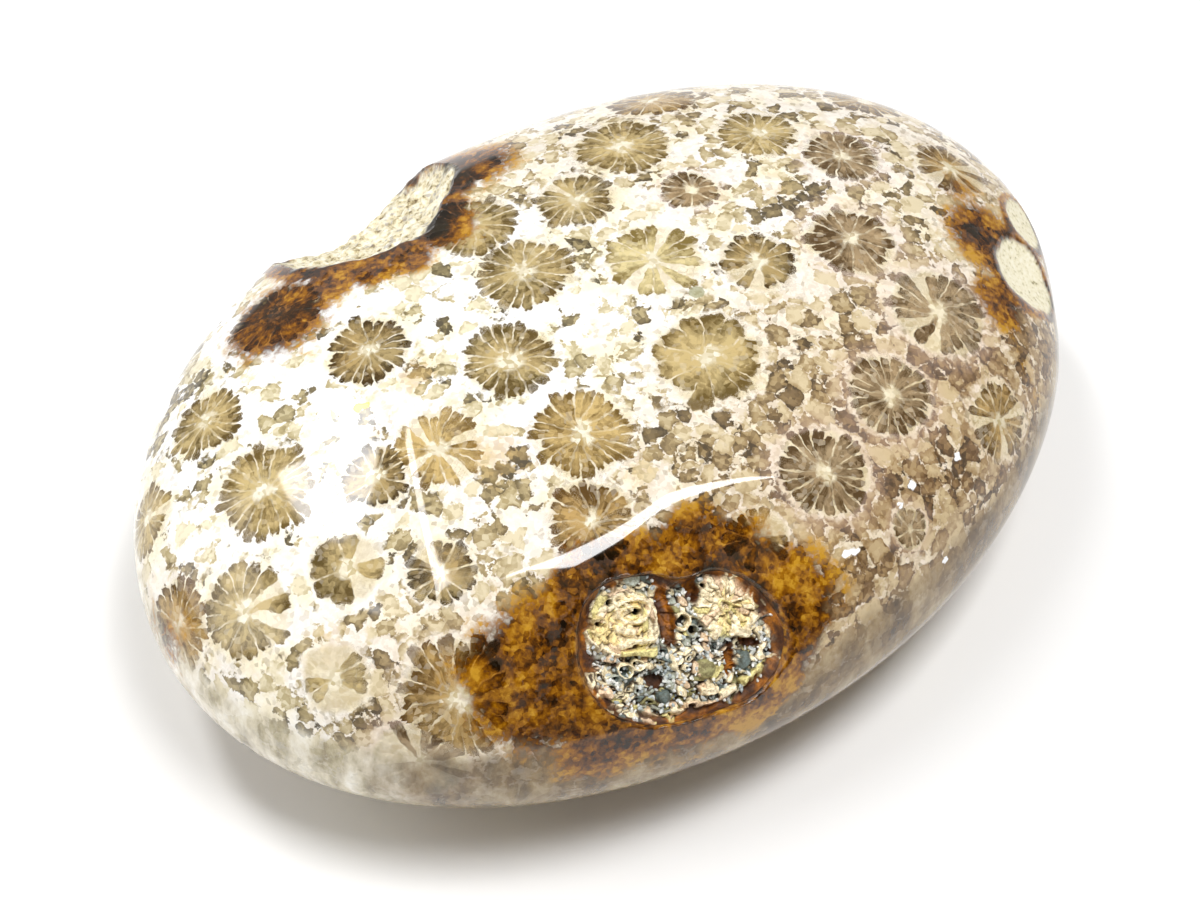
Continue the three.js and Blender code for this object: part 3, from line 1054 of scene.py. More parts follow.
@dataclass
class Graph:
    """A node tree being built: of a material, of the world or of a modifier."""

    tree: bpy.types.NodeTree
    owner: bpy.types.Material | bpy.types.World | None = None

    @classmethod
    def of(cls, owner: bpy.types.Material | bpy.types.World) -> "Graph":
        """The emptied tree of a material or of the world.

        Args:
            owner: the material or the world.

        Returns:
            The tree.
        """
        owner.use_nodes = True
        owner.node_tree.nodes.clear()
        return cls(owner.node_tree, owner)

    @classmethod
    def material(cls, name: str) -> "Graph":
        """The tree of a new material."""
        return cls.of(bpy.data.materials.new(name))

    def add(self, kind: str, *values: object, out: int | str | tuple = 0, **settings: object) -> object:
        """Adds a node with its settings and links.

        Args:
            kind: the node's type; a shader node's comes without its prefix.
            values: for each input in order, a signal, a constant, or None to leave it.
            out: which output is wanted, by number or name, or several of them.
            settings: the node's own settings, or its inputs by name with a trailing underscore.

        Returns:
            The wanted output as a signal, or a list of them.
        """
        full = kind.startswith(("GeometryNode", "FunctionNode", "NodeGroup"))
        node = self.tree.nodes.new(kind if full else "ShaderNode" + kind)
        for key, value in settings.items():
            if not key.endswith("_"):
                setattr(node, key, value)
        slots = [socket for socket in node.inputs if socket.enabled]
        pairs = list(zip(slots, values))
        for key, value in settings.items():
            if key.endswith("_"):
                pairs.append((node.inputs[key[:-1].replace("_", " ")], value))
        for socket, value in pairs:
            if isinstance(value, Signal):
                self.tree.links.new(value.socket, socket)
            elif value is not None:
                socket.default_value = value
        shown = [socket for socket in node.outputs if socket.enabled]
        if not shown:
            return None
        wanted = out if isinstance(out, tuple) else (out,)
        sockets = [node.outputs[key] if isinstance(key, str) else shown[key] for key in wanted]
        signals = [Signal(self, socket) for socket in sockets]
        return signals if isinstance(out, tuple) else signals[0]

    def parts(self, vector: Signal) -> list[Signal]:
        """The three numbers of a vector or a colour."""
        return self.add("SeparateXYZ", vector, out=(0, 1, 2))

    def read(self, name: str) -> list[Signal]:
        """The three numbers of an attribute."""
        return self.parts(self.add("Attribute", attribute_name=name, out="Vector"))

    def millimetres(self) -> Signal:
        """The point on the object, in millimetres."""
        point = self.add("TexCoord", out="Object")
        return self.add("VectorMath", point, (1 / MM, 1 / MM, 1 / MM), operation="MULTIPLY")

    def noise(
        self, place: Signal, scale: float, detail: float, roughness: float = 0.5, out: int | str = 0
    ) -> Signal:
        """Smooth noise from 0 to 1, or three of them where the colour is asked for.

        Args:
            place: where it is read.
            scale: how many lumps to a unit.
            detail: how many finer sizes of lump are added.
            roughness: how strong the finer ones are.
            out: which output is wanted.

        Returns:
            The noise.
        """
        inputs = dict(Vector_=place, Scale_=scale, Detail_=detail, Roughness_=roughness)
        return self.add("TexNoise", out=out, **inputs)

    def larger(self, first: Signal, second: Signal) -> Signal:
        """The larger of two values."""
        return self.add("Math", first, second, operation="MAXIMUM")

    def rise(self, low: Signal | float, high: Signal | float, value: Signal) -> Signal:
        """Smooth step from 0 at the low value to 1 at the high one."""
        return self.add("MapRange", value, low, high, interpolation_type="SMOOTHSTEP")

    def blend(self, share: Signal | float, first: object, second: object) -> Signal:
        """Mixes two colours: all of the first at 0, all of the second at 1."""
        colours = [linear(colour.value) if isinstance(colour, Enum) else colour for colour in (first, second)]
        return self.add("Mix", share, *colours, data_type="RGBA")

    def ramp(self, value: Signal, stops: Stops) -> Signal:
        """Turns a value to a colour.

        Args:
            value: the value, from 0 to 1.
            stops: places from 0 to 1 and their hex colours, in order.

        Returns:
            The colour.
        """
        colour = self.add("ValToRGB", value)
        elements = colour.socket.node.color_ramp.elements
        while len(elements) < len(stops):
            elements.new(0.5)
        for element, (position, code) in zip(elements, stops):
            element.position = position
            element.color = linear(code)
        return colour

    def finish(
        self, colour: object, roughness: Signal | float, height: Signal | None, **inputs: object
    ) -> None:
        """Ends the material in one surface.

        Args:
            colour: its base colour.
            roughness: its roughness.
            height: a fine relief in metres, or None.
            inputs: more inputs of the surface, by name with a trailing underscore.
        """
        normal = self.add("Bump", Strength_=1.0, Distance_=1.0, Height_=height) if height else None
        named = {"Base Color_": colour, "Roughness_": roughness, "Normal_": normal}
        surface = self.add("BsdfPrincipled", **named, **inputs)
        self.add("OutputMaterial", surface)


class Paint(Enum):
    """Colours of the polished stone."""

    WHITE = "FFFFFF"
    IVORY = "FCF4D8"
    TAN_GROUND = "E8D8BC"
    WHITE_FACET = "E0D8C4"
    TAN_FACET = "9A7C4C"
    TAN_MOTTLE = "A98A5A"
    DARK_SPECK = "7E6A3E"
    PALE_SPECK = "F2E4D4"
    CUP_FLOOR = "BCA672"
    CUP_FLOOR_PALE = "F0E4C0"
    HEART = "B8A97C"
    HEART_PALE = "F4EEDC"
    OLIVE_PETAL_DARK = "2C1E08"
    OLIVE_PETAL_LIGHT = "A08A5C"
    GOLDEN_PETAL_DARK = "563404"
    GOLDEN_PETAL_LIGHT = "B88E42"
    PALE_PETAL_DARK = "83703A"
    PALE_PETAL_LIGHT = "E0D29E"
    PINK_PETAL_DARK = "4A3020"
    PINK_PETAL_LIGHT = "AC9078"
    PETAL_SPECK = "E8DCC4"
    BLUSH = "DCBEB0"
    GOLDEN_WASH = "A57F3E"
    GOLDEN_WASH_PALE = "E2C488"
    YELLOW_FLECK = "E6BE20"
    MOSS_FLECK = "9A9A78"
    NOTCH_GRAIN = "8E8890"


@dataclass(frozen=True)
class Reading:
    """What the stone's material reads at each point."""

    place: Signal
    tan: Signal
    side: Signal
    cloud: Signal
    facet: Signal
    speck: Signal


@dataclass(frozen=True)
class CoralFinish:
    """Polished agatised coral: cups of translucent brown chalcedony in a white vesicular ground."""

    name: str = "polished agatised coral"
    index: float = 1.54
    polish: float = 0.06
    chalk_roughness: float = 0.8
    wall_share: float = 0.6
    chip_share: float = 0.2
    relief: float = 0.35
    wobble: float = 0.10
    wobble_pitch: float = 0.6
    sway: float = 0.30
    sway_pitch: float = 2.6
    septum: float = 0.055
    septum_edge: float = 0.05
    vesicle_pitch: float = 1.35
    facet_pitch: float = 0.34
    honey: Stops = ((0.05, "100600"), (0.3, "3A1C00"), (0.5, "683A00"), (0.72, "966006"), (1.0, "BE8C24"))
    notch_face: Stops = ((0.32, "5E4A2A"), (0.39, "B8A880"), (0.46, "E8DCB8"), (0.6, "FFFAE8"))
    chip_face: Stops = ((0.26, "6A5A34"), (0.32, "C8BE96"), (0.45, "EEE6C8"), (0.7, "F8F2DE"))
    pale_cells: Stops = ((0.05, "463C20"), (0.25, "7A6E46"), (0.5, "B4A678"), (0.85, "E6DEC0"))
    tan_cells: Stops = ((0.05, "3E2A14"), (0.27, "6E5030"), (0.5, "9C7E54"), (0.82, "CBB48A"))
    # The flank colours are darkened as painted shade on the steep sides.
    brown_flank: Stops = ((0.30, "302008"), (0.43, "5C441C"), (0.54, "82683C"), (0.66, "AC9872"))
    milky_flank: Stops = ((0.32, "6E6248"), (0.43, "B4A888"), (0.52, "DCD2B8"), (0.64, "FBF6E8"))

    def build(self) -> bpy.types.Material:
        """Builds the material.

        Returns:
            The material.
        """
        g = Graph.material(self.name)
        place = g.millimetres()
        amber, tan, side = g.read("zone")
        wall, notch, chips = g.read("bare")
        cloud = g.noise(place, 0.38, 4.0, 0.6)
        fibre = g.noise(place, 2.0, 3.0, 0.65)
        facets = dict(Vector_=place, Scale_=1 / self.facet_pitch, Randomness_=1.0)
        facet, speck, _ = g.parts(g.add("TexVoronoi", out="Color", **facets))
        at = Reading(place, tan, side, cloud, facet, speck)
        coral, darkness = self.coral(g, at)
        coral = self.flecked(g, at, fibre, coral)
        ragged = amber + cloud.swing(0.8) + fibre.swing(0.4) + facet.swing(0.12)
        stained = g.rise(0.30, 0.62, ragged)
        depth = cloud.swing(2.2) + fibre.swing(1.0) + facet.swing(0.35) + 0.80
        honey = g.ramp(depth - darkness * 0.4 - amber * 0.30, self.honey)
        colour = g.blend(stained * 0.96, coral, honey)
        # Painted highlights: white glints painted into the colour at a few spots.
        glint = g.rise(0.42, 0.55, g.read("glint")[0] + fibre.swing(0.4))
        colour = g.blend(glint, colour, Paint.WHITE)
        dust = g.noise(place, 1.6, 5.0, 0.7)
        face = g.blend(g.rise(0.9, 0.95, facet) * 0.5, g.ramp(dust, self.notch_face), Paint.NOTCH_GRAIN)
        colour = g.blend(notch, colour, face)
        grain = g.noise(place, 3.0, 3.0, 0.6)
        colour = g.blend(chips, colour, g.ramp(grain, self.chip_face))
        rough = g.larger(wall * self.wall_share, g.larger(notch, chips))
        roughness = rough * (self.chalk_roughness - self.polish) + self.polish
        height = dust * g.larger(wall * self.wall_share, notch + chips * self.chip_share)
        g.finish(colour, roughness, height * (self.relief * MM), IOR_=self.index)
        return g.owner

    def flecked(self, g: Graph, at: Reading, fibre: Signal, coral: Signal) -> Signal:
        """Lays the golden washes and the yellow and moss flecks over the coral.

        Args:
            g: the material's tree.
            at: what it reads.
            fibre: fine noise.
            coral: the coral's colour.

        Returns:
            The colour.
        """
        yellow, moss, wash = g.read("fleck")
        washed = g.rise(0.25, 0.8, wash + at.cloud.swing(0.5) + at.facet.swing(0.3))
        golden = g.blend(at.speck, Paint.GOLDEN_WASH, Paint.GOLDEN_WASH_PALE)
        coral = g.blend(washed * 0.55, coral, golden)
        coral = g.blend(g.rise(0.45, 0.6, yellow + fibre.swing(0.5)), coral, Paint.YELLOW_FLECK)
        return g.blend(g.rise(0.45, 0.55, moss + fibre.swing(0.3)) * 0.8, coral, Paint.MOSS_FLECK)

    def petals(self, g: Graph, at: Reading) -> tuple[Signal, Signal, Signal]:
        """The petals of the nearest cup.

        Args:
            g: the material's tree.
            at: what it reads.

        Returns:
            How much of a petal there is, how dark it is, and the share of the cup's radius.
        """
        across, along, radius = g.read("cup")
        pairs, seed, clear = g.read("growth")
        bend_x, bend_y, bend_z = g.parts(g.noise(at.place, 1 / self.wobble_pitch, 2.0, out="Color"))
        sway_x, sway_y, sway_z = g.parts(g.noise(at.place, 1 / self.sway_pitch, 1.0, out="Color"))
        across = across + bend_x.swing(self.wobble) + sway_x.swing(self.sway)
        along = along + bend_y.swing(self.wobble) + sway_y.swing(self.sway)
        share = g.add("VectorMath", g.add("CombineXYZ", across, along, 0.0), operation="LENGTH", out="Value")
        turn = g.add("Math", along, across, operation="ARCTAN2") * pairs / (2 * math.pi)
        whole = g.add("Math", turn, operation="FLOOR")
        beside = turn - whole - 0.5
        number = g.add("Math", whole, pairs, operation="FLOORED_MODULO")
        width = share * radius * (2 * math.pi) / pairs
        pair_dice = g.add("TexWhiteNoise", g.add("CombineXYZ", number, seed, 0.5), out="Color")
        split_die, core_die, deep_die = g.parts(pair_dice)
        second = g.add("Math", beside, 0.0, operation="GREATER_THAN")
        lobe_dice = g.add("TexWhiteNoise", g.add("CombineXYZ", number * 2.0 + second, seed, 7.5), out="Color")
        reach_die, tone_die, gap_die = g.parts(lobe_dice)
        thin = bend_z * self.septum * 2.2 - self.septum * 0.5
        main_wall = g.rise(thin, thin + self.septum_edge, (0.5 - abs(beside)) * width)
        side_wall = g.rise(thin * 0.6, thin * 0.6 + self.septum_edge, abs(beside) * width)
        split = split_die * 0.5 + 0.35
        joined = 1.0 - g.rise(split, split + 0.1, share)
        walls = main_wall * g.larger(side_wall, joined)
        merged = g.rise(0.45, 0.62, bend_y + at.facet.swing(0.2) + sway_x.swing(0.3)) * 0.8
        near_heart = g.rise(0.66, 0.36, share + bend_x.swing(0.6)) * 0.75
        walls = g.larger(walls, g.larger(merged, near_heart))
        lobe = abs(beside) * 2.0 - 0.5
        fringe = abs(g.add("Math", turn * 4.0, operation="FRACT") - 0.5)
        reach = reach_die * 0.26 + 0.86 - lobe * lobe * 0.4 - fringe * 0.10 + at.facet.swing(0.07)
        outer = g.rise(0.0, 0.04, reach - share)
        core = core_die * 0.20 + at.facet.swing(0.12)
        inner = g.rise(core, core + 0.16, share)
        kept = g.add("Math", gap_die, clear, operation="LESS_THAN")
        petal = walls * outer * inner * kept
        fibres = g.add("CombineXYZ", turn * 5.0, share * 2.5, seed)
        fibre = g.noise(fibres, 1.0, 3.0, 0.6)
        edge = g.rise(0.2, 0.02, reach - share)
        dark = (share - 0.62) * 0.85 + tone_die.swing(0.4) + fibre.swing(1.5) + deep_die.swing(0.25) + 0.50
        dark = dark + at.facet.swing(0.55) + sway_z.swing(1.6) + edge * 0.25
        return petal, g.add("Clamp", dark), share

    def petal_colour(
        self, g: Graph, at: Reading, look: Sequence[Signal], dark: Signal, share: Signal
    ) -> tuple[Signal, Signal]:
        """The colour of the petals.

        Args:
            g: the material's tree.
            at: what it reads.
            look: how pale, golden and pink the cup is.
            dark: how dark the petals are.
            share: the share of the cup's radius.

        Returns:
            The colour, and how dark it is with the pink cups' darker hearts.
        """
        pale, golden, pink = look
        golden = golden + at.cloud.swing(1.2)
        shade = g.blend(golden, Paint.OLIVE_PETAL_DARK, Paint.GOLDEN_PETAL_DARK)
        shade = g.blend(pale, shade, Paint.PALE_PETAL_DARK)
        light = g.blend(golden, Paint.OLIVE_PETAL_LIGHT, Paint.GOLDEN_PETAL_LIGHT)
        light = g.blend(pale, light, Paint.PALE_PETAL_LIGHT)
        dark = g.add("Clamp", dark + pink * g.rise(0.9, 0.2, share) * 0.4)
        colour = g.blend(dark, light, shade)
        rosy = g.blend(dark, Paint.PINK_PETAL_LIGHT, Paint.PINK_PETAL_DARK)
        colour = g.blend(pink * 0.6, colour, rosy)
        return g.blend(g.rise(0.84, 0.92, at.speck) * 0.22, colour, Paint.PETAL_SPECK), dark

    def ground(self, g: Graph, at: Reading, share: Signal, pink: Signal) -> Signal:
        """The white or tan ground between the petals, with its small cells.

        Args:
            g: the material's tree.
            at: what it reads.
            share: the share of the nearest cup's radius.
            pink: how pink that cup is.

        Returns:
            The colour.
        """
        bend = g.noise(at.place, 0.85, 4.0, 0.6, out="Color")
        stray = g.add("SeparateXYZ", bend)
        bent = g.add("VectorMath", bend, (1.5, 1.5, 1.5), at.place, operation="MULTIPLY_ADD")
        cells = dict(Vector_=bent, Scale_=1 / self.vesicle_pitch, Randomness_=1.0)
        edge = g.add("TexVoronoi", feature="DISTANCE_TO_EDGE", out="Distance", **cells)
        gate_die, cell_die, _ = g.parts(g.add("TexVoronoi", out="Color", **cells))
        dense = at.tan * 0.72 + 0.31 + at.cloud.swing(1.1)
        border = stray.swing(0.9) + at.facet.swing(0.10) + 0.03 - at.tan * 0.07
        outside = g.rise(0.98, 1.1, share + stray.swing(0.9))
        cell = g.rise(border, border + 0.07, edge) * g.rise(-0.05, 0.05, dense - gate_die) * outside
        tone = cell_die * 0.7 + g.rise(0.0, 0.3, edge) * 0.2 + at.facet.swing(0.35) + 0.05
        cell_colour = g.blend(at.tan, g.ramp(tone, self.pale_cells), g.ramp(tone, self.tan_cells))
        white = g.blend(g.rise(0.42, 0.66, at.cloud), Paint.WHITE, Paint.IVORY)
        plain = g.blend(at.tan, white, Paint.TAN_GROUND)
        faceted = g.blend(at.tan, Paint.WHITE_FACET, Paint.TAN_FACET)
        ground = g.blend(abs(at.facet - 0.5) * 0.25, plain, faceted)
        mottle = g.noise(bent, 1.5, 4.0, 0.65) + at.facet.swing(0.12)
        ground = g.blend(g.rise(0.44, 0.56, mottle) * at.tan * 0.42, ground, Paint.TAN_MOTTLE)
        ground = g.blend(g.rise(0.86, 0.92, at.speck) * (dense - 0.1) * 0.7, ground, Paint.DARK_SPECK)
        ground = g.blend(g.rise(0.16, 0.08, at.speck) * at.tan * 0.7, ground, Paint.PALE_SPECK)
        ground = g.blend(cell * 0.95, ground, cell_colour)
        within = g.rise(1.0, 0.8, share + stray.swing(0.5))
        ground = g.blend(within * 0.6, ground, g.blend(at.facet, Paint.CUP_FLOOR, Paint.CUP_FLOOR_PALE))
        heart = g.rise(0.42, 0.1, share) * (0.7 - pink * 0.5)
        return g.blend(heart, ground, g.blend(at.facet, Paint.HEART, Paint.HEART_PALE))

    def shaded_flank(self, g: Graph, at: Reading, colour: Signal) -> Signal:
        """Fades a colour to the streaky band on the stone's steep sides: the coral seen edge-on there, in
        colours darkened as painted shade for sides that turn away from the light.

        Args:
            g: the material's tree.
            at: what it reads.
            colour: the colour.

        Returns:
            The colour with the band.
        """
        streaks = g.add("VectorMath", at.place, (1.0, 1.0, 0.45), operation="MULTIPLY")
        streak = g.noise(streaks, 0.45, 6.0, 0.62)
        brownness = g.rise(0.45, 0.9, at.tan + at.cloud.swing(0.5))
        band_colour = g.blend(brownness, g.ramp(streak, self.milky_flank), g.ramp(streak, self.brown_flank))
        band = g.rise(0.1, 0.9, at.side + at.cloud.swing(1.1))
        return g.blend(band * 0.8, colour, band_colour)

    def coral(self, g: Graph, at: Reading) -> tuple[Signal, Signal]:
        """The coral's colour before any stain.

        Args:
            g: the material's tree.
            at: what it reads.

        Returns:
            The colour, and how dark its pattern is.
        """
        look = g.read("look")
        pink = look[2]
        petal, dark, share = self.petals(g, at)
        petal_colour, dark = self.petal_colour(g, at, look, dark, share)
        colour = g.blend(petal, self.ground(g, at, share, pink), petal_colour)
        blush = g.rise(1.6, 1.0, share) * g.rise(0.9, 1.0, share) * pink
        colour = g.blend(blush * 0.22, colour, Paint.BLUSH)
        return self.shaded_flank(g, at, colour), petal * dark


@dataclass(frozen=True)
class CrustFinish:
    """Broken coral skeleton with chalky cream plates and grey-blue quartz druse."""

    name: str = "drusy coral crust"
    roughness: float = 0.5
    index: float = 1.54
    relief: float = 0.10
    # The tint is darkened in the dips of the fine relief and paled on its tops: painted shade and painted
    # light over the crust's own colour.
    deep: tuple[float, float, float] = (0.58, 0.48, 0.32)
    relief_top_light: tuple[float, float, float] = (1.4, 1.34, 1.16)

    def build(self) -> bpy.types.Material:
        """Builds the material.

        Returns:
            The material.
        """
        g = Graph.material(self.name)
        place = g.millimetres()
        tint = g.add("Attribute", attribute_name="crust_tint", out="Vector")
        dust = g.noise(place, 3.2, 5.0, 0.7)
        shades = (self.deep, self.relief_top_light)
        low, high = (g.add("VectorMath", tint, shade, operation="MULTIPLY") for shade in shades)
        colour = g.blend(g.rise(0.34, 0.66, dust), low, high)
        g.finish(colour, self.roughness, dust * (self.relief * MM), IOR_=self.index)
        return g.owner


@dataclass(frozen=True)
class QuartzFinish:
    """Small clear to milky quartz crystals."""

    name: str = "milky quartz"
    milky: str = "F2F1EA"
    clear: str = "B6BFC0"
    roughness: float = 0.18
    index: float = 1.54

    def build(self) -> bpy.types.Material:
        """Builds the material.

        Returns:
            The material.
        """
        g = Graph.material(self.name)
        place = g.millimetres()
        cloud = g.rise(0.38, 0.62, g.noise(place, 1.1, 1.0))
        colour = g.blend(cloud, linear(self.clear), linear(self.milky))
        g.finish(colour, self.roughness, None, IOR_=self.index)
        return g.owner


@dataclass(frozen=True)
class Focus:
    """A direction where the stone's triangles are drawn closer together."""

    spot: Pair
    pull: float
    reach: float


@dataclass
class StonePiece:
    """The stone with its fine shape and everything its finish reads."""

    shape: StoneShape
    cups: CupField
    view: PhotoView
    frequency: int = 96
    focuses: tuple[Focus, ...] = (
        Focus((-10.5, -22.3), 0.34, 0.5),
        Focus((-6.3, 21.8), 0.26, 0.45),
        Focus((30.0, -9.0), 0.14, 0.3),
    )
    fewest_pairs: int = 3
    steep_between: Pair = (0.52, 0.15)
    underneath: Pair = (-0.95, -0.1)
    least_steep: float = 0.3
    edge_pitch: float = 1.5
    wall_rim: Pair = (1.0, 0.96)
    notch_rim: Pair = (0.97, 0.92)
    chip_rim: Pair = (0.97, 0.90)
    hollow_stain: Pair = (1.5, 1.0)
    notch_stain: Pair = (1.22, 1.02)
    chip_stain: Pair = (1.40, 1.05)

    def plain_points(self, directions: Array) -> Array:
        """Spreads a ball's points over the plain pebble, closer together at the features.

        Args:
            directions: points of the unit sphere.

        Returns:
            Points of the plain pebble.
        """
        pebble = self.shape.pebble
        oval = np.array([pebble.half_length, pebble.half_width, (pebble.top + pebble.bottom) / 2])
        for focus in self.focuses:
            towards = unit(np.array([*focus.spot, pebble.crown(*focus.spot)]) / oval)
            angle = np.arccos(np.clip(directions @ towards, -1, 1))
            share = focus.pull * np.exp(-((angle / focus.reach) ** 2))[:, None]
            directions = unit(directions * (1 - share) + towards * share)
        return pebble.surface(unit(directions * oval))

    def build(self, shift: Array) -> bpy.types.Object:
        """Builds the stone.

        Args:
            shift: from the pebble's middle to the frame's origin, in millimetres.

        Returns:
            The stone.
        """
        shape = self.shape
        directions, triangles = geodesic(self.frequency)
        plain = self.plain_points(directions)
        plain = shape.gather(plain, shape.pebble.place(*shape.hollow.spot), shape.hollow.outline)
        plain = shape.gather(plain, shape.pebble.place(*shape.notch.spot), shape.notch.outline)
        carved = shape.carve(plain)
        stone = mesh_from("fine_coral_stone", (carved + shift) * MM, triangles)
        self.write_cups(stone, plain, triangles)
        self.write_zones(stone, plain)
        stone.data.materials.append(CoralFinish().build())
        return stone

    def write_cups(self, stone: bpy.types.Object, plain: Array, triangles: Array) -> None:
        """Stores each triangle's own cup at its corners, so that no triangle mixes two cups.

        Args:
            stone: the stone.
            plain: its points on the plain pebble.
            triangles: its triangles.
        """
        cups = self.cups
        owner = np.repeat(cups.nearest(plain[triangles].mean(axis=1)), 3)
        away = plain[triangles.ravel()] - np.array(cups.middles)[owner]
        radii = np.array(cups.radii)[owner]
        across = np.einsum("ij,ij->i", away, np.array(cups.rights)[owner]) / radii
        along = np.einsum("ij,ij->i", away, np.array(cups.ups)[owner]) / radii
        looks = np.array(cups.looks)[owner]
        pairs = np.maximum(np.round(looks[:, 3] / 2), self.fewest_pairs)
        write_attribute(stone, "cup", "CORNER", np.stack([across, along, radii], axis=1))
        write_attribute(stone, "growth", "CORNER", np.stack([pairs, owner + 0.5, looks[:, 4]], axis=1))
        write_attribute(stone, "look", "CORNER", looks[:, :3])

    def write_zones(self, stone: bpy.types.Object, plain: Array) -> None:
        """Stores how stained, tan, steep and bare the stone is at each point, its flecks, and its painted
        white glints.

        Args:
            stone: the stone.
            plain: its points on the plain pebble.
        """
        pebble = self.shape.pebble
        amber = TintField(pebble, self.view, AMBER_MARKS).strongest(plain)
        tan = TintField(pebble, self.view, TAN_MARKS).blended(plain, HIDDEN_TAN)
        upward = pebble.normals(plain)[:, 2]
        # Stronger where the surface faces down: painted shade on the sides, laid over the real band of
        # edge-on coral.
        on_side = self.least_steep + (1 - self.least_steep) * ease(*self.underneath, upward)
        steep = ease(*self.steep_between, upward) * on_side
        shares = self.shape.shares(plain)
        wander = rough_noise(plain, self.edge_pitch, SEED + 5)
        wall = np.maximum(ease(*self.wall_rim, shares["hollow"]), ease(*self.wall_rim, shares["notch"]))
        notch = ease(*self.notch_rim, shares["notch"] + 0.14 * wander)
        chips = ease(*self.chip_rim, shares["chips"] + 0.08 * wander)
        amber = amber + 0.45 * ease(*self.hollow_stain, shares["hollow"])
        amber = amber + 0.9 * ease(*self.notch_stain, shares["notch"] + 0.10 * wander)
        amber = amber + 0.8 * ease(*self.chip_stain, shares["chips"] + 0.12 * wander)
        lists = (YELLOW_MARKS, MOSS_MARKS, GOLDEN_MARKS, PAINTED_GLINT_MARKS)
        yellow, moss, wash, white = (TintField(pebble, self.view, marks).strongest(plain) for marks in lists)

        # Painted highlights: where white glints are painted into the colour.
        write_attribute(stone, "glint", "POINT", np.stack([white, white, white], axis=1))
        write_attribute(stone, "zone", "POINT", np.stack([amber, tan, steep], axis=1))
        write_attribute(stone, "bare", "POINT", np.stack([wall, notch, chips], axis=1))
        write_attribute(stone, "fleck", "POINT", np.stack([yellow, moss, wash], axis=1))


class Form(Enum):
    """What a growth of the crust is shaped like."""

    LUMP = "lump"
    PLATE = "plate"
    RING = "ring"
    HOLE = "hole"


class Tint(Enum):
    """Colours of the crust."""

    CREAM = "F6E8B8"
    CHALK = "FFF8E4"
    ROSE = "EAD4C0"
    MIST = "B2BCBC"
    SLATE = "66767C"
    MOSS = "96946C"
    LEMON = "E8E2A8"
    AMBER = "A8680C"
    BARK = "4A2602"
    # Near-black: painted shade down in the crust's holes.
    DARK = "120C04"

    def colour(self) -> Array:
        """The colour as linear numbers."""
        return np.array(linear(self.value)[:3])


DRUSE_TINTS = (
    Tint.MIST, Tint.CHALK, Tint.SLATE, Tint.CHALK, Tint.ROSE, Tint.MOSS, Tint.CHALK, Tint.MIST,
    Tint.ROSE, Tint.LEMON, Tint.SLATE, Tint.CHALK,
)
STUMP_TINTS = (Tint.CREAM, Tint.CHALK, Tint.CHALK, Tint.ROSE, Tint.CHALK, Tint.LEMON)


@dataclass(frozen=True)
class Growth:
    """One growth of the crust, placed in millimetres right and up of the hollow's middle."""

    form: Form
    tint: Tint
    right: float
    up: float
    half_right: float
    half_up: float
    height: float
    turn: float = 0.0

    def local(self, right: Array, up: Array) -> tuple[Array, Array]:
        """Places in the growth's own half-sizes.

        Args:
            right: places right of the hollow's middle.
            up: places up of it.

        Returns:
            The same places along and across the growth.
        """
        x, y = right - self.right, up - self.up
        turn = math.radians(self.turn)
        cos_t, sin_t = math.cos(turn), math.sin(turn)
        return (x * cos_t + y * sin_t) / self.half_right, (y * cos_t - x * sin_t) / self.half_up

    def rise(self, right: Array, up: Array) -> Array:
        """How far it stands up, in millimetres, or how deep it goes if it is a hole.

        Args:
            right: places right of the hollow's middle.
            up: places up of it.

        Returns:
            The rise at each place.
        """
        x, y = self.local(right, up)
        away = np.hypot(x, y)
        if self.form is Form.LUMP:
            return self.height * np.sqrt(np.maximum(1 - away**3, 0))
        if self.form is Form.PLATE:
            edge = np.maximum(np.abs(x), np.abs(y))
            return self.height * np.clip((1 - edge) * 5, 0, 1) * (0.85 + 0.15 * y)
        if self.form is Form.RING:
            return self.height * np.clip(1 - np.abs(away - 0.8) / 0.2, 0, 1) ** 0.5
        return -self.height * np.clip((1 - away) * 2.5, 0, 1)
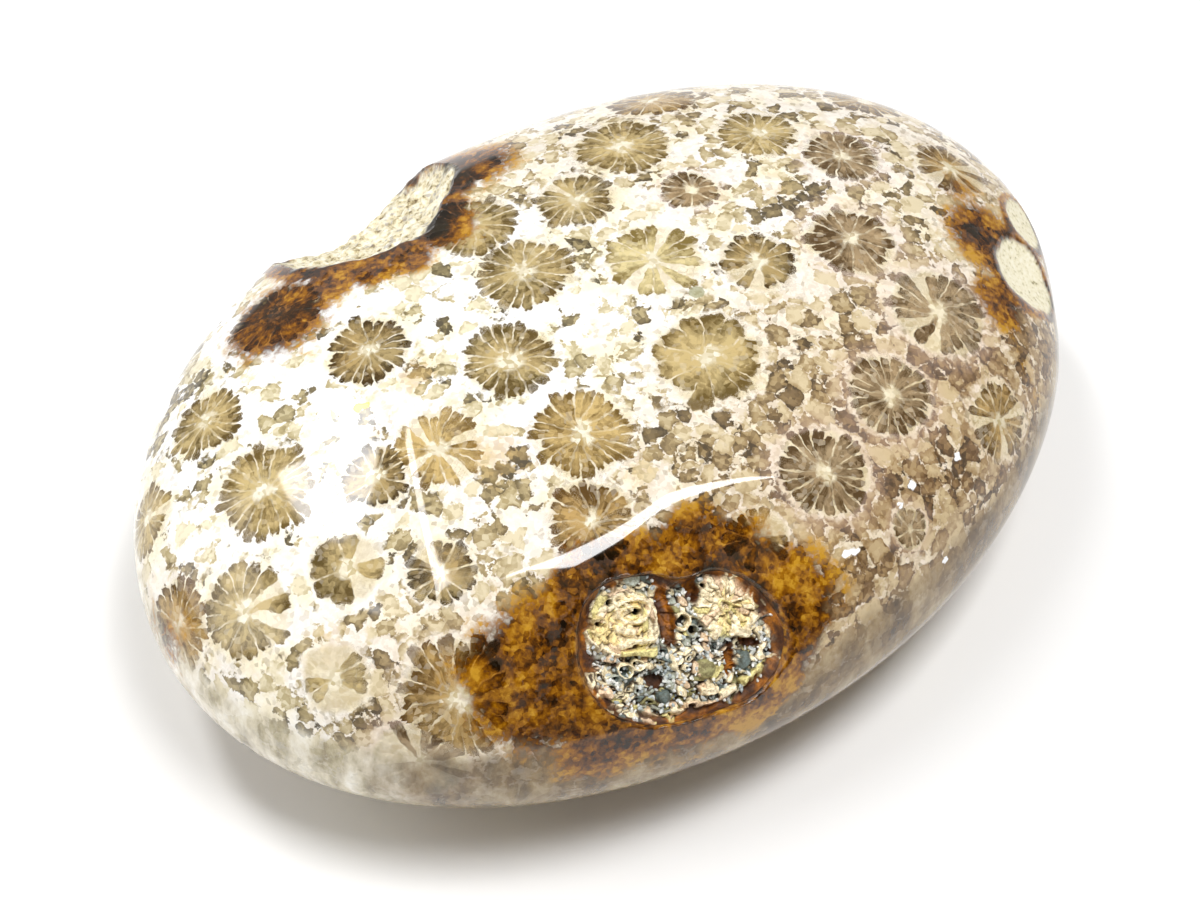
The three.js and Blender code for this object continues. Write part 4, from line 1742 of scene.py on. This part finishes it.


# The near-black holes are painted shade: their colour stands in for the shade down in them.
GROWTHS = (
    Growth(Form.RING, Tint.CHALK, -3.15, 2.5, 1.35, 0.95, 1.25, 12),
    Growth(Form.RING, Tint.CREAM, -3.3, 2.3, 0.8, 0.5, 1.15, 20),
    Growth(Form.RING, Tint.CREAM, -5.5, 1.6, 0.75, 0.7, 1.2),
    Growth(Form.PLATE, Tint.CHALK, -6.6, 2.3, 0.17, 0.9, 1.1, 12),
    Growth(Form.PLATE, Tint.CREAM, -6.15, 2.2, 0.17, 0.8, 1.25, 15),
    Growth(Form.PLATE, Tint.CHALK, -3.1, 0.45, 1.35, 0.24, 1.45, 8),
    Growth(Form.PLATE, Tint.LEMON, -2.9, -0.2, 1.35, 0.28, 1.3, 3),
    Growth(Form.PLATE, Tint.CHALK, -3.8, 1.25, 0.75, 0.33, 1.4, -8),
    Growth(Form.RING, Tint.LEMON, 2.95, 2.7, 0.55, 0.5, 1.3),
    Growth(Form.PLATE, Tint.CHALK, 4.7, 1.5, 0.7, 0.24, 1.35, 50),
    Growth(Form.PLATE, Tint.CHALK, 4.9, 3.0, 0.6, 0.2, 1.2, 110),
    Growth(Form.PLATE, Tint.CHALK, 4.0, 4.3, 0.8, 0.2, 1.1, -35),
    Growth(Form.PLATE, Tint.CHALK, 3.1, 4.9, 0.5, 0.18, 1.2, 75),
    Growth(Form.PLATE, Tint.CHALK, 2.3, 1.0, 0.5, 0.32, 1.35, 60),
    Growth(Form.PLATE, Tint.CHALK, 4.1, 0.9, 0.65, 0.32, 1.35, -20),
    Growth(Form.PLATE, Tint.ROSE, 1.9, 4.5, 1.0, 0.14, 1.0, 60),
    Growth(Form.PLATE, Tint.ROSE, 1.2, 4.8, 0.6, 0.14, 0.9, -12),
    Growth(Form.PLATE, Tint.ROSE, -1.3, 4.4, 0.9, 0.2, 0.9, -50),
    Growth(Form.RING, Tint.CHALK, 0.05, 1.7, 0.66, 0.62, 1.1),
    Growth(Form.RING, Tint.MIST, 0.75, 1.1, 0.45, 0.45, 0.9),
    Growth(Form.RING, Tint.CHALK, -3.76, -1.37, 0.6, 0.55, 1.0),
    Growth(Form.RING, Tint.CHALK, -2.9, -1.05, 0.46, 0.46, 1.0),
    Growth(Form.RING, Tint.MIST, -4.5, -2.0, 0.45, 0.42, 0.9),
    Growth(Form.LUMP, Tint.CHALK, -6.0, -2.5, 0.52, 0.38, 1.0),
    Growth(Form.LUMP, Tint.ROSE, -5.05, -2.9, 0.52, 0.4, 1.0),
    Growth(Form.LUMP, Tint.CHALK, -0.6, -0.9, 0.26, 0.6, 1.1, 20),
    Growth(Form.PLATE, Tint.CHALK, 2.0, -2.9, 0.65, 0.26, 1.1, 5),
    Growth(Form.PLATE, Tint.ROSE, 1.3, -3.7, 1.25, 0.25, 1.1, 3),
    Growth(Form.PLATE, Tint.CHALK, -0.2, -4.15, 0.65, 0.25, 1.0, -12),
    Growth(Form.LUMP, Tint.ROSE, -2.4, -4.3, 0.4, 0.6, 0.9),
    Growth(Form.PLATE, Tint.LEMON, -1.3, -4.7, 0.6, 0.25, 0.8, 30),
    Growth(Form.PLATE, Tint.CHALK, 3.2, -3.0, 0.7, 0.25, 1.0, 25),
    Growth(Form.PLATE, Tint.LEMON, 4.95, -2.0, 1.0, 0.35, 0.9, 38),
    Growth(Form.LUMP, Tint.SLATE, 4.3, -1.0, 0.45, 0.65, 1.0, -30),
    Growth(Form.LUMP, Tint.MIST, -3.2, 4.4, 0.6, 0.45, 1.0),
    Growth(Form.LUMP, Tint.MOSS, 1.7, -1.5, 0.8, 0.7, 0.7),
    Growth(Form.LUMP, Tint.SLATE, -1.2, -3.2, 0.5, 0.45, 0.9),
    Growth(Form.HOLE, Tint.AMBER, -0.95, 2.0, 0.62, 2.4, 0.7, 8),
    Growth(Form.HOLE, Tint.AMBER, 0.75, 4.1, 0.55, 1.5, 0.7, 15),
    Growth(Form.HOLE, Tint.AMBER, 3.3, -0.8, 0.42, 1.4, 0.5),
    Growth(Form.HOLE, Tint.AMBER, 4.7, 0.2, 0.8, 0.35, 0.5, -15),
    Growth(Form.HOLE, Tint.BARK, -1.7, -2.2, 0.8, 0.5, 0.8, -30),
    Growth(Form.HOLE, Tint.DARK, 0.05, 1.7, 0.42, 0.4, 1.4),
    Growth(Form.HOLE, Tint.DARK, 0.78, 1.1, 0.25, 0.27, 1.1),
    Growth(Form.HOLE, Tint.DARK, 6.0, -0.35, 0.36, 0.28, 1.2),
    Growth(Form.HOLE, Tint.DARK, 1.55, 4.65, 0.3, 0.2, 1.2, 60),
    Growth(Form.HOLE, Tint.DARK, 1.6, 4.0, 0.2, 0.2, 1.0),
    Growth(Form.HOLE, Tint.DARK, -2.9, 2.35, 0.3, 0.2, 1.2, 20),
    Growth(Form.HOLE, Tint.DARK, -4.7, 3.1, 0.18, 0.28, 1.1),
    Growth(Form.HOLE, Tint.BARK, -5.5, 1.6, 0.25, 0.25, 0.8),
    Growth(Form.HOLE, Tint.SLATE, -3.76, -1.37, 0.36, 0.32, 0.7),
    Growth(Form.HOLE, Tint.DARK, -2.9, -1.05, 0.22, 0.22, 0.8),
)


@dataclass(frozen=True)
class Fragments:
    """Which irregular fragment each place lies in, and where in it."""

    between: Array
    across: Array
    along: Array
    dice: Array

    @classmethod
    def scatter(cls, first: Array, second: Array, seed: int) -> "Fragments":
        """Breaks a plane into irregular fragments about one unit across.

        Args:
            first: one coordinate of each place.
            second: the other.
            seed: which fragments.

        Returns:
            The fragments.
        """
        cell = np.stack([np.floor(first), np.floor(second)], axis=1).astype(np.int64)
        near = np.full(len(first), np.inf)
        beyond = near.copy()
        offsets = np.zeros((len(first), 2))
        chosen = np.zeros((len(first), 4))
        for step in np.ndindex(3, 3):
            corner = cell + np.array(step) - 1
            dice = cls.roll(corner, seed)
            away = np.stack([first, second], axis=1) - corner - 0.5 - (dice[:, :2] - 0.5) * 0.9
            distance = np.hypot(away[:, 0], away[:, 1])
            closer = distance < near
            beyond = np.where(closer, near, np.minimum(beyond, distance))
            near = np.where(closer, distance, near)
            offsets[closer] = away[closer]
            chosen[closer] = cls.roll(corner[closer], seed + 31)
        return cls(beyond - near, offsets[:, 0], offsets[:, 1], chosen)

    @staticmethod
    def roll(corner: Array, seed: int) -> Array:
        """Four numbers from 0 to 1 for each whole-number place.

        Args:
            corner: the places.
            seed: which numbers.

        Returns:
            The numbers, four to a place.
        """
        mixed = (corner[:, 0] * 73856093) ^ (corner[:, 1] * 19349663) ^ (seed * 83492791)
        rolls = []
        for _ in range(4):
            mixed = (mixed ^ (mixed >> 15)) * 2246822519 & 0x7FFFFFFF
            mixed = (mixed ^ (mixed >> 13)) * 3266489917 & 0x7FFFFFFF
            rolls.append((mixed >> 7 & 0xFFFF) / 65535)
        return np.stack(rolls, axis=1)

    def facets(self, low: float, high: float, tilt: float, gap: float) -> Array:
        """Height of each place, each fragment tilted its own way, with gaps between fragments.

        Args:
            low: the lowest fragment's height.
            high: the highest one's.
            tilt: how steeply they tilt.
            gap: how deep the gaps between them are.

        Returns:
            The height.
        """
        height = low + (high - low) * self.dice[:, 0]
        lean_across, lean_along = self.dice[:, 1] - 0.5, self.dice[:, 2] - 0.5
        height = height + tilt * (lean_across * self.across + lean_along * self.along)
        return height - gap * ease(0.16, 0.02, self.between)

    def tints(self, palette: Sequence[Tint]) -> Array:
        """A colour for each place from its fragment's own number."""
        colours = np.array([tint.colour() for tint in palette])
        return colours[np.minimum((self.dice[:, 3] * len(palette)).astype(int), len(palette) - 1)]


@dataclass(frozen=True)
class Stump:
    """A worn coral stump, whose plates run round it or out from its middle."""

    right: float
    up: float
    half_right: float
    half_up: float
    height: float
    round_length: float
    out_length: float
    mean_radius: float = 0.6

    def mask(self, right: Array, up: Array) -> Array:
        """1 on the stump and 0 off it."""
        away = np.hypot((right - self.right) / self.half_right, (up - self.up) / self.half_up)
        return ease(1.0, 0.86, away)

    def fragments(self, right: Array, up: Array, seed: int) -> Fragments:
        """Its plates.

        Args:
            right: places right of the hollow's middle.
            up: places up of it.
            seed: which plates.

        Returns:
            The plates.
        """
        x, y = right - self.right, up - self.up
        away = np.hypot(x, y)
        around = np.arctan2(y, x) * self.half_right * self.mean_radius
        return Fragments.scatter(away / self.out_length, around / self.round_length, seed)


@dataclass
class CrustPiece:
    """The crust of coral stumps, plates and quartz that lines the hollow."""

    shape: StoneShape
    cells: int = 220
    gap: float = 0.3
    reach: float = 0.96
    edge: float = 0.05
    layer: float = 0.35
    druse_pitch: float = 0.74
    margin: Pair = (0.85, 0.93)
    stumps: tuple[Stump, ...] = (
        Stump(-3.9, 1.7, 2.9, 2.3, 0.6, 1.3, 0.36),
        Stump(3.1, 2.8, 2.3, 2.4, 0.65, 0.40, 1.0),
    )

    def surface(self, right: Array, up: Array, spot: Array) -> tuple[Array, Array, Array]:
        """The crust's height and colour, with shade painted into its gaps, pits and holes, and where its
        druse is.

        Args:
            right: places right of the hollow's middle.
            up: places up of it.
            spot: the same places in space, for noise.

        Returns:
            Its height over the layer that it grows on, its colour, and 1 where bare druse shows.
        """
        share = self.shape.hollow.outline.share(right, up)
        right = right + 0.2 * rough_noise(spot, 0.6, SEED + 11, 3)
        up = up + 0.2 * rough_noise(spot, 0.6, SEED + 12, 3)
        lean = 0.5 * rough_noise(spot, 2.5, SEED + 18, 2)
        pitch = self.druse_pitch
        druse = Fragments.scatter((right + lean * up) / pitch, (up - lean * right) / pitch * 1.35, SEED + 3)
        open_druse = np.ones(len(right))
        height = druse.facets(0.0, 0.7, 0.7, 0.4)
        tint = druse.tints(DRUSE_TINTS)
        cup = (druse.dice[:, 2] > 0.62) * ease(0.3, 0.18, np.hypot(druse.across, druse.along))
        height = height - 0.5 * cup
        # Painted shade: the gaps between druse fragments and the pits in them are darkened toward a dim bark
        # brown.
        dark = np.maximum(0.95 * ease(0.20, 0.04, druse.between), 0.9 * cup)
        for index, stump in enumerate(self.stumps):
            mask = stump.mask(right, up)
            open_druse = open_druse * (1 - mask)
            plates = stump.fragments(right, up, SEED + 7 + index)
            height = height + mask * (stump.height + plates.facets(0.0, 0.4, 0.3, 0.3) - height)
            tint = tint + mask[:, None] * (plates.tints(STUMP_TINTS) - tint)
            # Painted shade in the gaps between the stump's plates.
            dark = dark + mask * (0.8 * ease(0.13, 0.02, plates.between) - dark)
        # The painted shade is laid over the tint here.
        tint = tint + dark[:, None] * (Tint.BARK.colour() * 0.6 - tint)
        for growth in GROWTHS:
            rise = growth.rise(right, up)
            if growth.form is Form.HOLE:
                inside = ease(0.0, -0.5 * growth.height, rise)
                height = np.maximum(height + rise, -0.3)
            else:
                inside = ease(0.0, 0.12, rise - np.maximum(height, 0.0)) * (rise > 0)
                height = np.where(rise > 0, np.maximum(height, rise), height)
            shade = growth.tint.colour()
            if growth.tint is Tint.AMBER:
                mottle = ease(-0.3, 0.4, rough_noise(spot, 0.9, SEED + 15, 3))[:, None]
                shade = Tint.BARK.colour() * (1 - mottle) + shade * mottle
            tint = tint + inside[:, None] * (shade - tint)
            open_druse = open_druse * (1 - inside)
        ragged = share + 0.14 * rough_noise(spot, 1.8, SEED + 16, 3) + 0.12 * (druse.dice[:, 0] - 0.5)
        outside = ease(*self.margin, ragged)
        height = height * (1 - outside) + outside * (0.1 + 0.25 * rough_noise(spot, 0.7, SEED + 19, 2))
        mottle = ease(-0.3, 0.5, rough_noise(spot, 0.8, SEED + 17, 3))[:, None]
        bark = Tint.BARK.colour() * (1 - mottle) + Tint.AMBER.colour() * mottle
        return height, tint + outside[:, None] * (bark - tint), open_druse * (1 - outside)

    def soften(self, values: Array) -> Array:
        """Takes the sharpest steps off values on the sheet's grid.

        Args:
            values: one value for each point of the grid.

        Returns:
            Each value averaged with its neighbours'.
        """
        grid = values.reshape(self.cells + 1, self.cells + 1)
        padded = np.pad(grid, 1, mode="edge")
        rows = (padded[:-2] + 2 * padded[1:-1] + padded[2:]) / 4
        return ((rows[:, :-2] + 2 * rows[:, 1:-1] + rows[:, 2:]) / 4).ravel()

    def spread(self) -> tuple[Array, Array, Array]:
        """Places of the sheet's square grid, drawn out to the hollow's outline.

        Returns:
            Places right and up of the hollow's middle, and 0 in the middle to 1 on the sheet's edge.
        """
        steps = np.linspace(-1, 1, self.cells + 1)
        a, b = (axis.ravel() for axis in np.meshgrid(steps, steps))
        flat = np.maximum(np.abs(a), np.abs(b))
        wide = np.abs(a) >= np.abs(b)
        ratio = np.where(wide, b / np.where(a == 0, 1, a), a / np.where(b == 0, 1, b))
        bearing = np.where(wide, math.pi / 4 * ratio, math.pi / 2 - math.pi / 4 * ratio)
        bearing = bearing + np.where(np.where(wide, a, b) < 0, math.pi, 0)
        distance = flat * self.reach * outline_radius(self.shape.hollow.outline.radii, bearing)
        return distance * np.cos(bearing), distance * np.sin(bearing), flat

    def sheet_triangles(self) -> Array:
        """Triangles of the closed sheet: its top, its underside and the strip round its edge.

        Returns:
            The triangles, with the underside's points numbered after the top's.
        """
        count = self.cells + 1
        corner = np.arange(count * count).reshape(count, count)
        first, second = corner[:-1, :-1].ravel(), corner[:-1, 1:].ravel()
        third, fourth = corner[1:, 1:].ravel(), corner[1:, :-1].ravel()
        top = np.concatenate([np.stack([first, second, third], 1), np.stack([first, third, fourth], 1)])
        rim = np.concatenate([corner[0, :-1], corner[:-1, -1], corner[-1, :0:-1], corner[:0:-1, 0]])
        after = np.roll(rim, -1)
        below = count * count
        sides = [np.stack([rim, rim + below, after + below], 1), np.stack([rim, after + below, after], 1)]
        return np.concatenate([top, top[:, ::-1] + below, *sides])

    def build(self, shift: Array) -> bpy.types.Object:
        """Builds the crust as a closed sheet.

        Args:
            shift: from the pebble's middle to the frame's origin, in millimetres.

        Returns:
            The crust.
        """
        place = self.shape.pebble.place(*self.shape.hollow.spot)
        right, up, flat = self.spread()
        crown = self.shape.pebble.out_over(place, right, up)
        skin = crown - self.shape.dip.depth_at(right, up)
        drifted = self.shape.drift(place.point(right, up, crown), right, up, self.shape.hollow_drift)
        depth = self.shape.hollow.depth_at(*drifted)
        inward = ease(1.0, 0.8, flat)
        floor = skin - depth + self.gap * inward + 0.02
        under = place.point(right, up, floor)
        height, tint, open_druse = self.surface(right, up, under)
        thickness = self.edge + inward * np.maximum(self.layer + height - self.edge, 0.03)
        limit = np.maximum(depth - self.gap * inward - 0.05, 0.03)
        thickness = self.soften(np.minimum(thickness, limit + 0.5 * inward))
        over = place.point(right, up, floor + thickness)
        triangles = self.sheet_triangles()
        crust = mesh_from("fine_hollow_crust", (np.concatenate([over, under]) + shift) * MM, triangles)
        write_attribute(crust, "crust_tint", "POINT", np.concatenate([tint, tint]))
        druse = np.concatenate([open_druse, 0 * open_druse])
        write_attribute(crust, "druse", "POINT", np.repeat(druse[:, None], 3, axis=1))
        crust.data.materials.append(CrustFinish().build())
        return crust


@dataclass(frozen=True)
class Crystals:
    """Small pointed quartz crystals that stand on the druse, spread by geometry nodes."""

    per_square_mm: float = 4.0
    width: float = 0.24
    length: float = 0.30
    tip: float = 0.16
    sizes: Pair = (0.5, 1.2)
    tilt: float = 0.8

    def tree(self) -> bpy.types.NodeTree:
        """Builds the node tree: one six-sided crystal, set on points of the druse.

        Returns:
            The tree.
        """
        tree = bpy.data.node_groups.new("quartz crystals", "GeometryNodeTree")
        tree.interface.new_socket("Geometry", in_out="INPUT", socket_type="NodeSocketGeometry")
        for name, kind in (("Density", "Float"), ("Width", "Float"), ("Length", "Float"), ("Tip", "Float")):
            tree.interface.new_socket(name, in_out="INPUT", socket_type="NodeSocket" + kind)
        tree.interface.new_socket("Seed", in_out="INPUT", socket_type="NodeSocketInt")
        tree.interface.new_socket("Finish", in_out="INPUT", socket_type="NodeSocketMaterial")
        tree.interface.new_socket("Geometry", in_out="OUTPUT", socket_type="NodeSocketGeometry")
        g = Graph(tree)
        crust, density, width, length, tip, seed, finish = g.add("NodeGroupInput", out=(0, 1, 2, 3, 4, 5, 6))
        druse = g.add("GeometryNodeInputNamedAttribute", data_type="FLOAT_VECTOR", Name_="druse")
        local_density = g.add("SeparateXYZ", druse) * density
        points, facing = g.add(
            "GeometryNodeDistributePointsOnFaces", out=("Points", "Rotation"),
            Mesh_=crust, Density_=local_density, Seed_=seed,
        )
        prism = g.add(
            "GeometryNodeMeshCylinder", fill_type="TRIANGLE_FAN",
            Vertices_=6, Radius_=width * 0.5, Depth_=length,
        )
        across, along, height = g.parts(g.add("GeometryNodeInputPosition"))
        beside_axis = g.add("CombineXYZ", across, along, 0.0)
        from_axis = g.add("VectorMath", beside_axis, operation="LENGTH", out="Value")
        on_axis = g.add("Math", from_axis, width * 0.1, operation="LESS_THAN")
        on_top = g.add("Math", height, 0.0, operation="GREATER_THAN")
        lift = g.add("CombineXYZ", 0.0, 0.0, on_axis * on_top * tip)
        crystal = g.add("GeometryNodeSetPosition", Geometry_=prism, Offset_=lift)
        lean = g.add(
            "FunctionNodeRandomValue", data_type="FLOAT_VECTOR", out="Value",
            Min_=(-self.tilt, -self.tilt, -math.pi), Max_=(self.tilt, self.tilt, math.pi),
        )
        turned = g.add("FunctionNodeRotateRotation", facing, lean, rotation_space="LOCAL")
        size = g.add("FunctionNodeRandomValue", *self.sizes, data_type="FLOAT")
        spread = g.add(
            "GeometryNodeInstanceOnPoints", Points_=points, Instance_=crystal, Rotation_=turned, Scale_=size
        )
        solid = g.add("GeometryNodeRealizeInstances", spread)
        g.add("NodeGroupOutput", g.add("GeometryNodeSetMaterial", Geometry_=solid, Material_=finish))
        return tree

    def build(self, crust: bpy.types.Object) -> bpy.types.Object:
        """Grows the crystals on the crust.

        Args:
            crust: the finished crust.

        Returns:
            The crystals as one plain mesh.
        """
        tree = self.tree()
        finish = QuartzFinish().build()
        values = {
            "Density": self.per_square_mm / MM**2,
            "Width": self.width * MM,
            "Length": self.length * MM,
            "Tip": self.tip * MM,
            "Seed": SEED,
            "Finish": finish,
        }
        modifier = crust.modifiers.new("quartz crystals", "NODES")
        modifier.node_group = tree
        for item in tree.interface.items_tree:
            if item.in_out == "INPUT" and item.name in values:
                modifier[item.identifier] = values[item.name]
        grown = crust.evaluated_get(bpy.context.evaluated_depsgraph_get())
        mesh = bpy.data.meshes.new_from_object(grown)
        crust.modifiers.remove(modifier)
        mesh.name = "fine_quartz_crystals"
        piece = bpy.data.objects.new("fine_quartz_crystals", mesh)
        bpy.context.scene.collection.objects.link(piece)
        return piece


@dataclass(frozen=True)
class LampPlan:
    """A soft light, placed by the direction that it comes from."""

    name: str
    towards: tuple[float, float, float]
    distance: float
    sides: Pair
    power: float
    turn: float = 0.0


@dataclass
class Studio:
    """The photograph's camera, lights and white table."""

    view: PhotoView
    floor_size: float = 4.0
    card: str = "FAFAFA"
    card_roughness: float = 0.9
    sky: float = 0.30
    dim_sky: float = 0.03
    dim_towards: tuple[float, float, float] = (0.0, -0.80, 0.60)
    dim_range: Pair = (0.72, 0.93)
    lamps: tuple[LampPlan, ...] = (
        LampPlan("window over the front", (0.11, -0.27, 0.96), 0.60, (0.275, 0.17), 2.7),
        LampPlan("strip over the top", (-0.17, 0.33, 0.92), 0.60, (0.085, 0.40), 1.3, -42.0),
        LampPlan("large soft side light", (-0.68, 0.55, 0.50), 0.90, (0.70, 0.70), 2.6),
    )

    def build(self, shift: Array) -> None:
        """Builds the floor, the lights and the camera.

        Args:
            shift: from the pebble's middle to the frame's origin, in millimetres.
        """
        scene = bpy.context.scene
        scene.view_settings.view_transform = "Standard"
        middle = Vector(shift * MM)
        half = self.floor_size / 2
        corners = np.array([(-half, -half, 0), (half, -half, 0), (half, half, 0), (-half, half, 0)])
        floor = mesh_from("white_table", corners, np.array([(0, 1, 2), (0, 2, 3)]))
        g = Graph.material("matt white card")
        g.finish(linear(self.card), self.card_roughness, None)
        floor.data.materials.append(g.owner)
        self.build_sky(scene)
        for plan in self.lamps:
            self.build_lamp(scene, middle, plan)
        self.build_camera(scene, middle)

    def build_lamp(self, scene: bpy.types.Scene, middle: Vector, plan: LampPlan) -> None:
        """Builds one light that shines on the stone.

        Args:
            scene: the scene.
            middle: the pebble's middle, in metres.
            plan: the light's plan.
        """
        lamp = bpy.data.lights.new(plan.name, "AREA")
        lamp.shape = "RECTANGLE"
        lamp.size, lamp.size_y = plan.sides
        lamp.energy = plan.power
        holder = bpy.data.objects.new(plan.name, lamp)
        towards = Vector(plan.towards).normalized()
        holder.location = middle + towards * plan.distance
        spin = Quaternion((0, 0, 1), math.radians(plan.turn))
        holder.rotation_euler = (towards.to_track_quat("Z", "Y") @ spin).to_euler()
        scene.collection.objects.link(holder)

    def build_sky(self, scene: bpy.types.Scene) -> None:
        """Builds a pale studio that is dim where the camera stands.

        Args:
            scene: the scene.
        """
        g = Graph.of(bpy.data.worlds.new("pale studio"))
        direction = g.add("VectorMath", g.add("TexCoord", out="Generated"), operation="NORMALIZE")
        dim = tuple(unit(np.array(self.dim_towards)))
        facing = g.add("VectorMath", direction, dim, operation="DOT_PRODUCT", out="Value")
        strength = self.sky - g.rise(*self.dim_range, facing) * (self.sky - self.dim_sky)
        g.add("OutputWorld", g.add("Background", linear("FFFFFF"), strength))
        scene.world = g.owner

    def build_camera(self, scene: bpy.types.Scene, middle: Vector) -> None:
        """Builds the photograph's camera.

        Args:
            scene: the scene.
            middle: the pebble's middle, in metres.
        """
        right, up, back = (Vector(axis) for axis in self.view.axes())
        camera = bpy.data.cameras.new("photograph")
        camera.sensor_width = 36.0
        camera.lens = self.view.focal / self.view.width * camera.sensor_width
        camera.shift_x = (self.view.width / 2 - self.view.centre_column) / self.view.width
        camera.shift_y = (self.view.centre_row - self.view.height / 2) / self.view.width
        camera.clip_start = 0.01
        holder = bpy.data.objects.new("photograph", camera)
        turned = Matrix((right, up, back)).transposed().to_4x4()
        holder.matrix_world = Matrix.Translation(middle + back * self.view.distance * MM) @ turned
        scene.collection.objects.link(holder)
        scene.camera = holder


def frame_shift(pebble_box: Array) -> Array:
    """From the pebble's middle to the frame's origin, in millimetres.

    Args:
        pebble_box: the carved stone's own low and high corners.

    Returns:
        The shift that stands it on its flat over the origin.
    """
    low, high = pebble_box
    return np.array([-(low[0] + high[0]) / 2, -(low[1] + high[1]) / 2, -low[2]])


def main() -> None:
    """Builds every piece in order and tells the frame about it."""
    shape = StoneShape()
    view = PhotoView()
    cups = CupField(shape.pebble, view)
    cups.fill()
    log.info("%d cups", len(cups.middles))
    coarse = 24
    directions, _ = geodesic(coarse)
    rough = shape.carve(shape.pebble.surface(directions))
    shift = frame_shift(np.array([rough.min(axis=0), rough.max(axis=0)]))
    log.info("shift %s", shift)
    stone = StonePiece(shape, cups, view).build(shift)
    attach(stone, "root")
    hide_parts("coral_stone")
    log.info("stone %d faces", len(stone.data.polygons))
    crust = CrustPiece(shape).build(shift)
    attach(crust, "root")
    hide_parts("hollow_crust")
    log.info("crust %d faces", len(crust.data.polygons))
    crystals = Crystals().build(crust)
    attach(crystals, "root")
    log.info("crystals %d faces", len(crystals.data.polygons))
    Studio(view).build(shift)


if __name__ == "__main__":
    logging.basicConfig(level=logging.INFO, format="%(message)s")
    main()
